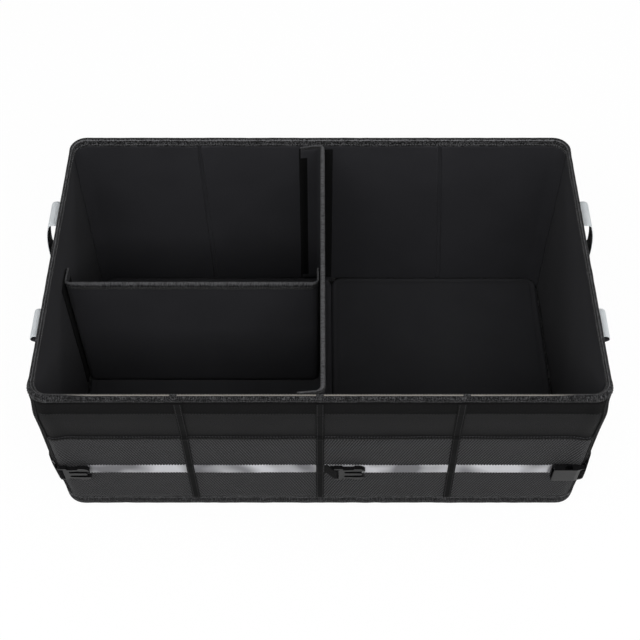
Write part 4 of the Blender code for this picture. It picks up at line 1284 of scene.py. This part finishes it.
cross_low, cross_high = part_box("cross_divider")
cross_y = cross_low.y + DIVIDER / 2
cross_ends = [Vector((x, cross_y)) for x in (cross_low.x + DIVIDER / 2, cross_high.x - DIVIDER / 2)]
TO_REAR = Vector((0.0, 1.0))
cross_spots = bent_path(*cross_ends, TO_REAR, cross_high.y - cross_y)
cross_sides = inner_sides(cross_spots, TO_REAR, Vector((1.0, 0.0)))
sew_divider("cross_divider", cross_spots, cross_sides, None, 33.0)
print("center divider at x", round(center_x, 4), "and cross divider at y", round(cross_y, 4))

# %% [markdown]
# ## Hook and loop strips
#
# The flanges are held by strips of hook tape, and wider strips of loop tape are sewn to the walls.
# Only edges of them show. Each is a flat tape with rounded long edges that rises along its wall,
# and wavers a little as sewn tape does.

# %% Sew the strips
GRIP = 0.0012
LOOP_REACH = 0.0070
STRIP_KINDS = ("center_loop", "center_hook", "cross_loop", "cross_hook")


def grip_strip(name):
    """One strip. Those of the center divider lean with the front and rear walls."""
    low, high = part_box(name)
    along_x = "center" in name
    if name == "center_loop_rear":
        high = high + Vector((LOOP_REACH, 0.0, 0.0))
    lean_side = 0.0
    if along_x:
        lean_side = 1.0 if "rear" in name else -1.0
    rows = []
    for z in spread(low.z, high.z, 0.006):
        waver = 0.0004 * ripple(z, low.x, 0.03, 2.0)
        if along_x:
            deep = abs(high.y) if lean_side > 0 else abs(low.y)
            back = lean_side * (deep - TILT * high.z + TILT * z)
            front = back - lean_side * GRIP
            soft = GRIP * 0.3
            left, right, eased = low.x + waver, high.x + waver, front + lean_side * soft
            section = [(left, back), (right, back), (right, eased)]
            section += [(right - soft, front), (left + soft, front), (left, eased)]
        else:
            near, far = low.y + waver, high.y + waver
            section = [(low.x, near), (high.x, near), (high.x, far), (low.x, far)]
        rows.append([Vector((x, y, z)) for x, y in section])
    made = band(name + "_tape", rows, LOOP_TAPE if name.startswith("cross") else GRIP_TAPE)
    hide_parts(name)


strip_names = sorted(name for name in frame["nodes"] if name.startswith(STRIP_KINDS))
for strip_name in strip_names:
    grip_strip(strip_name)
print("strips:", len(strip_names))

# %% [markdown]
# ## Layers on the front wall
#
# A band of loop tape runs under the rim, and the net pocket covers the wall below. Its top is bound
# with a narrow tape, and the silver stripe is sewn across it. All of them share the wall's swell,
# so no layer pokes through another, and each adds a little slack of its own.

# %% Lay the layers one on another
ON_WALL = 0.0003
NET = 0.0010
HEM = 0.0008
STRIPE = 0.0005
GRIP_BAND = 0.0010
WRAP = math.radians(31.0)
NET_END = STRAIGHT_FRONT / 2 + CORNER * WRAP
LAYER_GAP = 0.0003
ON_NET = ON_WALL + NET + LAYER_GAP
TAPE_PITCH = 0.148
LAYER_LIFT = 0.0025
LAYER_TOP = RIM_TOP - OUTER_LEG - 0.0010
LAYER_FOOT = FOOT_TOP + 0.0007


def drifted(drift, height):
    """How far a tape that isn't quite upright has moved along the wall at a height."""
    return drift[0] + (drift[1] - drift[0]) * height / RIM_TOP


def laid_strip(
        name, node, alongs, low, high, off, thick, look, rise=0.006, edge=0.0, drift=(0.0, 0.0)):
    """A closed strip on the wall. off(along, height) is the distance of its back from the outer
    cloth, and drift moves its foot and its top along the wall."""
    rows = []
    count = len(spread(low, high, rise)) - 1
    for s in alongs:
        bottom = low + edge * ripple(s, 0.0, 0.018, 41.0)
        top = min(high + edge * ripple(s, 0.0, 0.016, 43.0), LAYER_TOP)
        heights = shared_out(bottom, top, count)
        soft = thick * 0.35
        face = [(z, off(s, z) + thick) for z in heights]
        face[0] = (face[0][0], face[0][1] - soft)
        face[-1] = (face[-1][0], face[-1][1] - soft)
        back = [(z, off(s, z)) for z in reversed(heights)]
        rows.append([wall_point(s + drifted(drift, z), z, out) for z, out in face + back])
    made = band(name, rows, look)
    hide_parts(node)
    return made


def heights_of(node):
    """Lowest and highest place of a layer on the wall: its node's, set a little higher, as in the
    photograph."""
    low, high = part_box(node)
    return max(low.z + LAYER_LIFT, LAYER_FOOT), min(high.z + LAYER_LIFT, LAYER_TOP)


def wall_back(along, height):
    """Where the back of a layer lies that is sewn straight onto the wall."""
    return ON_WALL + outer_ripple(along, height)


def net_slack(along, height):
    """The net stands a little off the wall between its tapes."""
    across = abs(math.sin(math.pi * along / TAPE_PITCH))
    return 0.0005 * across * (0.4 + 0.6 * hollows(along, height, 0.06, 51.0))


def net_back(along, height):
    """Where the back of a layer lies that is sewn onto the net."""
    return ON_NET + outer_ripple(along, height) + net_slack(along, height)


net_low, net_high = heights_of("pocket_mesh")
net_alongs = spread(-NET_END, NET_END, CLOTH_STEP)
net = laid_strip(
    "net_pocket", "pocket_mesh", net_alongs, net_low, net_high,
    lambda s, z: wall_back(s, z) + net_slack(s, z), NET, POCKET_NET)

HEM_TUCK = 0.0030
hem_low, hem_high = heights_of("pocket_hem")
hem_low += HEM_TUCK
hem = laid_strip(
    "net_pocket_hem", "pocket_hem", net_alongs, hem_low, hem_high, net_back, HEM, HEM_TAPE,
    rise=0.0025, edge=0.0005)

band_low, band_high = heights_of("front_grip_band")[0], LAYER_TOP
grip_band = laid_strip(
    "front_loop_band", "front_grip_band", net_alongs, band_low, band_high, wall_back, GRIP_BAND,
    GRIP_TAPE, rise=0.004, edge=0.0005)

stripe_low, stripe_high = heights_of("reflective_strip")
stripe_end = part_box("reflective_strip")[1].x
stripe_alongs = spread(-stripe_end, stripe_end, CLOTH_STEP)
stripe = laid_strip(
    "silver_stripe", "reflective_strip", stripe_alongs, stripe_low, stripe_high, net_back, STRIPE,
    SILVER_TAPE, rise=0.0025)


def layer_row(name, alongs, height, back, thick):
    """A row along a layer: back(along, height) is where the layer's back lies."""
    wall_stitches(
        name, alongs, [height] * len(alongs), lambda s, z: back(s, z) + thick, BLACK_THREAD)


layer_row("stripe_stitches_top", stripe_alongs, stripe_high + 0.0002, net_back, STRIPE)
layer_row("stripe_stitches_foot", stripe_alongs, stripe_low + 0.0006, net_back, STRIPE)
layer_row("hem_stitches", net_alongs, hem_low + 0.0012, net_back, HEM)
layer_row("grip_band_stitches", net_alongs, band_low + 0.0016, wall_back, GRIP_BAND)
print("net reaches", round(NET_END, 4), "m each way")

# %% [markdown]
# ## Upright tapes
#
# Five narrow tapes hold the net to the wall and divide the pocket. The three on the flat climb over
# the stripe, the hem and the loop band, and the two outer ones close the net's ends in the rounded
# corners.

# %% Sew the upright tapes
TAPE = 0.0008
TAPE_WIDTH = 0.0085
TAPE_MARGIN = 0.0013
TAPE_DRIFT = {-1: (0.0028, 0.0018), 0: (0.0, 0.0), 1: (0.0010, -0.0022)}
STEP_RUN = 0.003


def climb(height, edge, up):
    """0 below an edge and 1 above it, with a short soft ramp. up is -1 for a step down."""
    part = max(0.0, min(1.0, (height - edge) / STEP_RUN + 0.5))
    smooth = part * part * (3 - 2 * part)
    return smooth if up > 0 else 1.0 - smooth


def tape_off(along, height):
    """Back of an upright tape, which climbs over every layer that lies under it at this height."""
    layers = (NET + LAYER_GAP) * climb(height, net_high, -1)
    layers += (STRIPE + LAYER_GAP) * climb(height, stripe_low, 1) * climb(height, stripe_high, -1)
    layers += (HEM + LAYER_GAP) * climb(height, hem_low, 1) * climb(height, hem_high, -1)
    layers += (GRIP_BAND + LAYER_GAP) * climb(height, band_low, 1)
    slack = net_slack(along, height) * climb(height, net_high, -1)
    return ON_WALL + outer_ripple(along, height) + slack + layers


tape_names = sorted(name for name in frame["nodes"] if name.startswith("pocket_tape"))
for tape_name in tape_names:
    tape_low, tape_high = heights_of(tape_name)[0], LAYER_TOP
    tape_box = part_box(tape_name)
    tape_x = (tape_box[0].x + tape_box[1].x) / 2
    drift = (0.0, 0.0)
    if abs(tape_x) < STRAIGHT_FRONT / 2 - 0.01:
        tape_alongs = spread(tape_x - TAPE_WIDTH / 2, tape_x + TAPE_WIDTH / 2, 0.003)
        tape_back = tape_off
        drift = TAPE_DRIFT[round(tape_x / TAPE_PITCH)]
    else:
        inner_end = NET_END + 0.0005
        tape_alongs = spread(inner_end, inner_end + TAPE_WIDTH, 0.002)
        tape_back = wall_back
        if tape_x < 0:
            tape_alongs = [-s for s in reversed(tape_alongs)]
    upright = laid_strip(
        tape_name + "_webbing", tape_name, tape_alongs, tape_low, tape_high, tape_back, TAPE,
        DARK_WEBBING, rise=0.0025, drift=drift)
    seam_heights = spread(tape_low + 0.001, tape_high - 0.001, 0.0025)
    for number, s in enumerate((tape_alongs[0] + TAPE_MARGIN, tape_alongs[-1] - TAPE_MARGIN), 1):
        row_name = "{}_stitches_{}".format(tape_name, number)
        wall_stitches(
            row_name, [s + drifted(drift, z) for z in seam_heights], seam_heights,
            lambda s, z: tape_back(s, z) + TAPE, BLACK_THREAD)
print("upright tapes:", len(tape_names))

# %% [markdown]
# ## Buckles and their webbing
#
# The buckle halves are moulded, so their CAD shape stays and only gets its plastic. Each hangs in
# an eye of webbing: the strap comes round the corner, runs to the bar, wraps it, and is sewn back
# onto itself. It is drawn in the plane of the leaning wall, as distance to the right and distance
# outward, and a rounded flat section is carried along it.

# %% Webbing straps
WEBBING = 0.0012
WEBBING_WIDTH = 0.020
BAR_RADIUS, BAR_PLAY = 0.0015, 0.0004
BAR_EYE = BAR_RADIUS + BAR_PLAY + WEBBING / 2
EYE_CLOSE = math.radians(30.0)
STRAP_TAIL = 0.025
wall_angle = math.atan(TILT)


def on_wall_plane(x, out, up):
    """A point given in the plane of the front wall: to the right, outward, and up along the
    wall."""
    y = -HALF_DEPTH - out * math.cos(wall_angle) - up * math.sin(wall_angle)
    return Vector((x, y, up * math.cos(wall_angle) - out * math.sin(wall_angle)))


WEBBING_SECTION = (
    (-0.5, 0.0), (-0.47, 0.42), (-0.3, 0.5), (0.0, 0.5), (0.3, 0.5), (0.47, 0.42),
    (0.5, 0.0), (0.47, -0.42), (0.3, -0.5), (0.0, -0.5), (-0.3, -0.5), (-0.47, -0.42))


def webbing_strap(name, path, middle_up):
    """Carry a flat section with rounded edges along a path of (x, outward) points in the wall's
    plane."""
    rows = []
    for i, (x, out) in enumerate(path):
        before, after = path[max(0, i - 1)], path[min(len(path) - 1, i + 1)]
        ahead = Vector((after[0] - before[0], after[1] - before[1])).normalized()
        side = Vector((ahead.y, -ahead.x))
        row = []
        for across, lift in WEBBING_SECTION:
            spot = Vector((x, out)) + side * lift * WEBBING
            row.append(on_wall_plane(spot.x, spot.y, middle_up + across * WEBBING_WIDTH))
        rows.append(row)
    return band(name, rows, DARK_WEBBING)


def turn_round(center, radius, start, end, steps):
    """Points on an arc from one angle to another."""
    angles = [start + (end - start) * i / steps for i in range(steps + 1)]
    return [(center[0] + radius * math.cos(a), center[1] + radius * math.sin(a)) for a in angles]


def eye_at(center, leave, back_run):
    """The eye round a bar, drawn with outward as +y: it turns clockwise and meets the strap
    again."""
    path = turn_round(center, BAR_EYE, leave, leave - math.pi - EYE_CLOSE, 18)
    heading = leave - math.pi - EYE_CLOSE - math.pi / 2
    gap = BAR_EYE * (1 + math.cos(EYE_CLOSE)) - WEBBING - 0.0003
    run = gap / math.sin(EYE_CLOSE)
    meet = (path[-1][0] + run * math.cos(heading), path[-1][1] + run * math.sin(heading))
    path.append(meet)
    if back_run:
        away = leave - math.pi - math.pi / 2
        for run in (back_run * 0.5, back_run * 1.0):
            path.append((meet[0] + run * math.cos(away), meet[1] + run * math.sin(away)))
    return path


def bar_of(joint_name):
    """Where a buckle's bar is, in the plane of the front wall."""
    for joint in frame["record"]["behaviour"]["joints"]:
        if joint["name"] == joint_name:
            x, y, z = joint["pos_m"]
            shift_y = -HALF_DEPTH - y
            out = shift_y * math.cos(wall_angle) - z * math.sin(wall_angle)
            up = shift_y * math.sin(wall_angle) + z * math.cos(wall_angle)
            return x, out, up
    raise ValueError(joint_name)


def cloth_stands(along, middle_up):
    """The greatest swell of the cloth across the width of a strap."""
    parts = (-0.5, -0.25, 0.0, 0.25, 0.5)
    return max(outer_ripple(along, middle_up + part * WEBBING_WIDTH) for part in parts)


def corner_strap(name, joint_name, mirror):
    """A strap from the side wall round the corner to its buckle, drawn for the left and mirrored
    for the right."""
    bar_x, bar_out, bar_up = bar_of(joint_name)
    bar_x *= mirror
    corner = (-HALF_WIDTH + CORNER, -CORNER)
    side_start = STRAIGHT_FRONT / 2 + QUARTER
    over = ON_NET + WEBBING / 2
    front_radius = CORNER + over + cloth_stands(mirror * -FRONT_CORNER, bar_up)
    dx, dy = bar_x - corner[0], bar_out - corner[1]
    leave = math.atan2(dy, dx) + math.acos((front_radius - BAR_EYE) / math.hypot(dx, dy))
    path = []
    for back in (STRAP_TAIL, 0.019, 0.0125, 0.006):
        stand = cloth_stands(-mirror * (side_start + back), bar_up)
        climbed = (over - ON_WALL) * (1 - back / STRAP_TAIL)
        path.append((-HALF_WIDTH - stand - ON_WALL - WEBBING / 2 - climbed, -CORNER - back))
    leave_turn = math.pi + (leave - math.pi) % (2 * math.pi) - 2 * math.pi
    for i in range(13):
        angle = math.pi + (leave_turn - math.pi) * i / 12
        along = side_start - CORNER * (math.pi - angle)
        stand = cloth_stands(-mirror * along, bar_up)
        radius = CORNER + over + stand * (1 - i / 12) + (front_radius - CORNER - over) * i / 12
        path.append((corner[0] + radius * math.cos(angle), corner[1] + radius * math.sin(angle)))
    path += eye_at((bar_x, bar_out), leave, WEBBING_WIDTH / 4)
    path = [(mirror * x, out) for x, out in path]
    strap = webbing_strap(name + "_webbing", path, bar_up)
    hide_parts(name)


corner_strap("strap_left", "buckle_left_swing", 1.0)
corner_strap("strap_right", "buckle_right_swing", -1.0)

bar_x, bar_out, bar_up = bar_of("buckle_center_swing")
lying_out = ON_NET + STRIPE + LAYER_GAP + WEBBING / 2
tail_start = TAPE_WIDTH / 2 + LAYER_GAP
lift = (tail_start + 0.004, lying_out)
dx, dy = bar_x - lift[0], bar_out - lift[1]
leave = math.atan2(dy, dx) + math.acos(-BAR_EYE / math.hypot(dx, dy))
center_path = [(tail_start, lying_out), lift] + eye_at((bar_x, bar_out), leave, 0.0)
center_strap = webbing_strap("strap_center_webbing", center_path, bar_up)
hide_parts("strap_center")
for buckle_name in ("buckle_left", "buckle_center", "buckle_right"):
    finish_node(buckle_name, BUCKLE_PLASTIC)
print("center bar:", round(bar_x, 4), "m to the right,", round(bar_out, 4), "m off the wall")

# %% [markdown]
# ## Carrying handles
#
# Each handle is a loop of wide webbing, pale grey outside and dark grey inside. Its ends are sewn
# to the side wall and folded over. The rear leg stands well off the wall, the bow hangs slack and
# turns its inner face up, and the front leg lies tucked behind its own fold. A list of stations
# gives the middle line with the turn of the webbing at each one, and a section with thick, rounded
# selvedges is carried along it.

# %% Weave the handles
HANDLE = 0.0016
HANDLE_WIDTH = 0.038
FOLD_Z = RIM_TOP - 0.024
SAG_Z = FOLD_Z - 0.061
SAG = 0.050
PATCH = 0.020
FOLD_HEIGHT = 0.0062
REAR_FOLD, FRONT_FOLD = 0.0065, 0.0051
BULGE, TUCK = 0.0090, 0.0010
LEG_TWIST, BOW_TWIST = 0.15, 0.38


def ease(t):
    """A smooth way from 0 to 1."""
    return (1 - math.cos(math.pi * t)) / 2


def fold_over(lying, reach, turn):
    """Place off the wall and height on the fold at one end of a handle. turn is 0 at the wall and 1
    outside."""
    angle = math.pi * turn
    return lying + reach * (1 - math.cos(angle)), FOLD_Z + FOLD_HEIGHT * math.sin(angle)


def handle_line():
    """Stations as (off the wall, y, z, twist, width direction in y and z), from the rear patch to
    the front one."""
    rear, front = (0.0, 1.0, 0.0), (0.0, -1.0, 0.0)
    lying = ON_WALL + HANDLE / 2
    rear_out, front_out = lying + 2 * REAR_FOLD, lying + 2 * FRONT_FOLD
    tucked = lying + HANDLE + ON_WALL + TUCK
    line = [(lying, LEG_Y, FOLD_Z - PATCH + PATCH * i / 4, *rear) for i in range(4)]
    for i in range(11):
        off, z = fold_over(lying, REAR_FOLD, i / 10)
        line.append((off, LEG_Y, z, *rear))
    for i in range(1, 13):
        t = i / 12
        off = rear_out + BULGE * math.sin(math.pi / 2 * t ** 0.85)
        line.append((off, LEG_Y, FOLD_Z + (SAG_Z - FOLD_Z) * t, LEG_TWIST * ease(t), 1.0, 0.0))
    for i in range(1, 33):
        t = i / 32
        angle = math.pi * t
        out_y, out_z = SAG * math.cos(angle), -LEG_Y * math.sin(angle)
        length = math.hypot(out_y, out_z)
        off = rear_out + BULGE + (tucked - rear_out - BULGE) * ease(t)
        place = LEG_Y * math.cos(angle), SAG_Z - SAG * math.sin(angle)
        twist = LEG_TWIST * (1 - t) ** 3 - BOW_TWIST * math.sin(math.pi * t ** 0.6)
        line.append((off, *place, twist, out_y / length, out_z / length))
    tuck_z = FOLD_Z - FOLD_HEIGHT
    for i in range(1, 11):
        line.append((tucked, -LEG_Y, SAG_Z + (tuck_z - SAG_Z) * i / 10, *front))
    for i in range(1, 4):
        off = tucked + (front_out - tucked) * ease(i / 4)
        line.append((off, -LEG_Y, tuck_z + FOLD_HEIGHT * i / 4, *front))
    for i in range(11):
        off, z = fold_over(lying, FRONT_FOLD, 1 - i / 10)
        line.append((off, -LEG_Y, z, *front))
    return line + [(lying, -LEG_Y, FOLD_Z - PATCH * i / 4, *front) for i in range(1, 5)]


HANDLE_SECTION = (
    (-0.5, 0.0), (-0.485, 0.40), (-0.42, 0.5), (-0.2, 0.46), (0.0, 0.46), (0.2, 0.46),
    (0.42, 0.5), (0.485, 0.40), (0.5, 0.0), (0.485, -0.40), (0.42, -0.5), (0.2, -0.46),
    (0.0, -0.46), (-0.2, -0.46), (-0.42, -0.5), (-0.485, -0.40))


def weave_handle(name, side):
    """A handle on one side wall. Its inner face gets the dark webbing."""
    line = handle_line()
    middles = [Vector((HALF_WIDTH + off, y, z)) for off, y, z, *_ in line]
    rows = []
    for i, (_, _, _, twist, wide_y, wide_z) in enumerate(line):
        ahead = (middles[min(i + 1, len(line) - 1)] - middles[max(i - 1, 0)]).normalized()
        wide = Vector((twist, wide_y, wide_z)).normalized()
        out = wide.cross(ahead).normalized()
        row = []
        for across, lift in HANDLE_SECTION:
            row.append(middles[i] + wide * across * HANDLE_WIDTH + out * lift * HANDLE)
        rows.append([Vector((side * p.x, p.y, p.z)) for p in row])
    made = band(name + "_webbing", rows, GREY_WEBBING)
    made.data.materials.append(INNER_WEBBING)
    across = len(rows[0])
    for number, face in enumerate(made.data.polygons):
        if number % across < across // 2 and number < (len(rows) - 1) * across:
            face.material_index = 1
    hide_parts(name)


weave_handle("handle_left", -1.0)
weave_handle("handle_right", 1.0)
print("handles hang from z", round(FOLD_Z, 3))
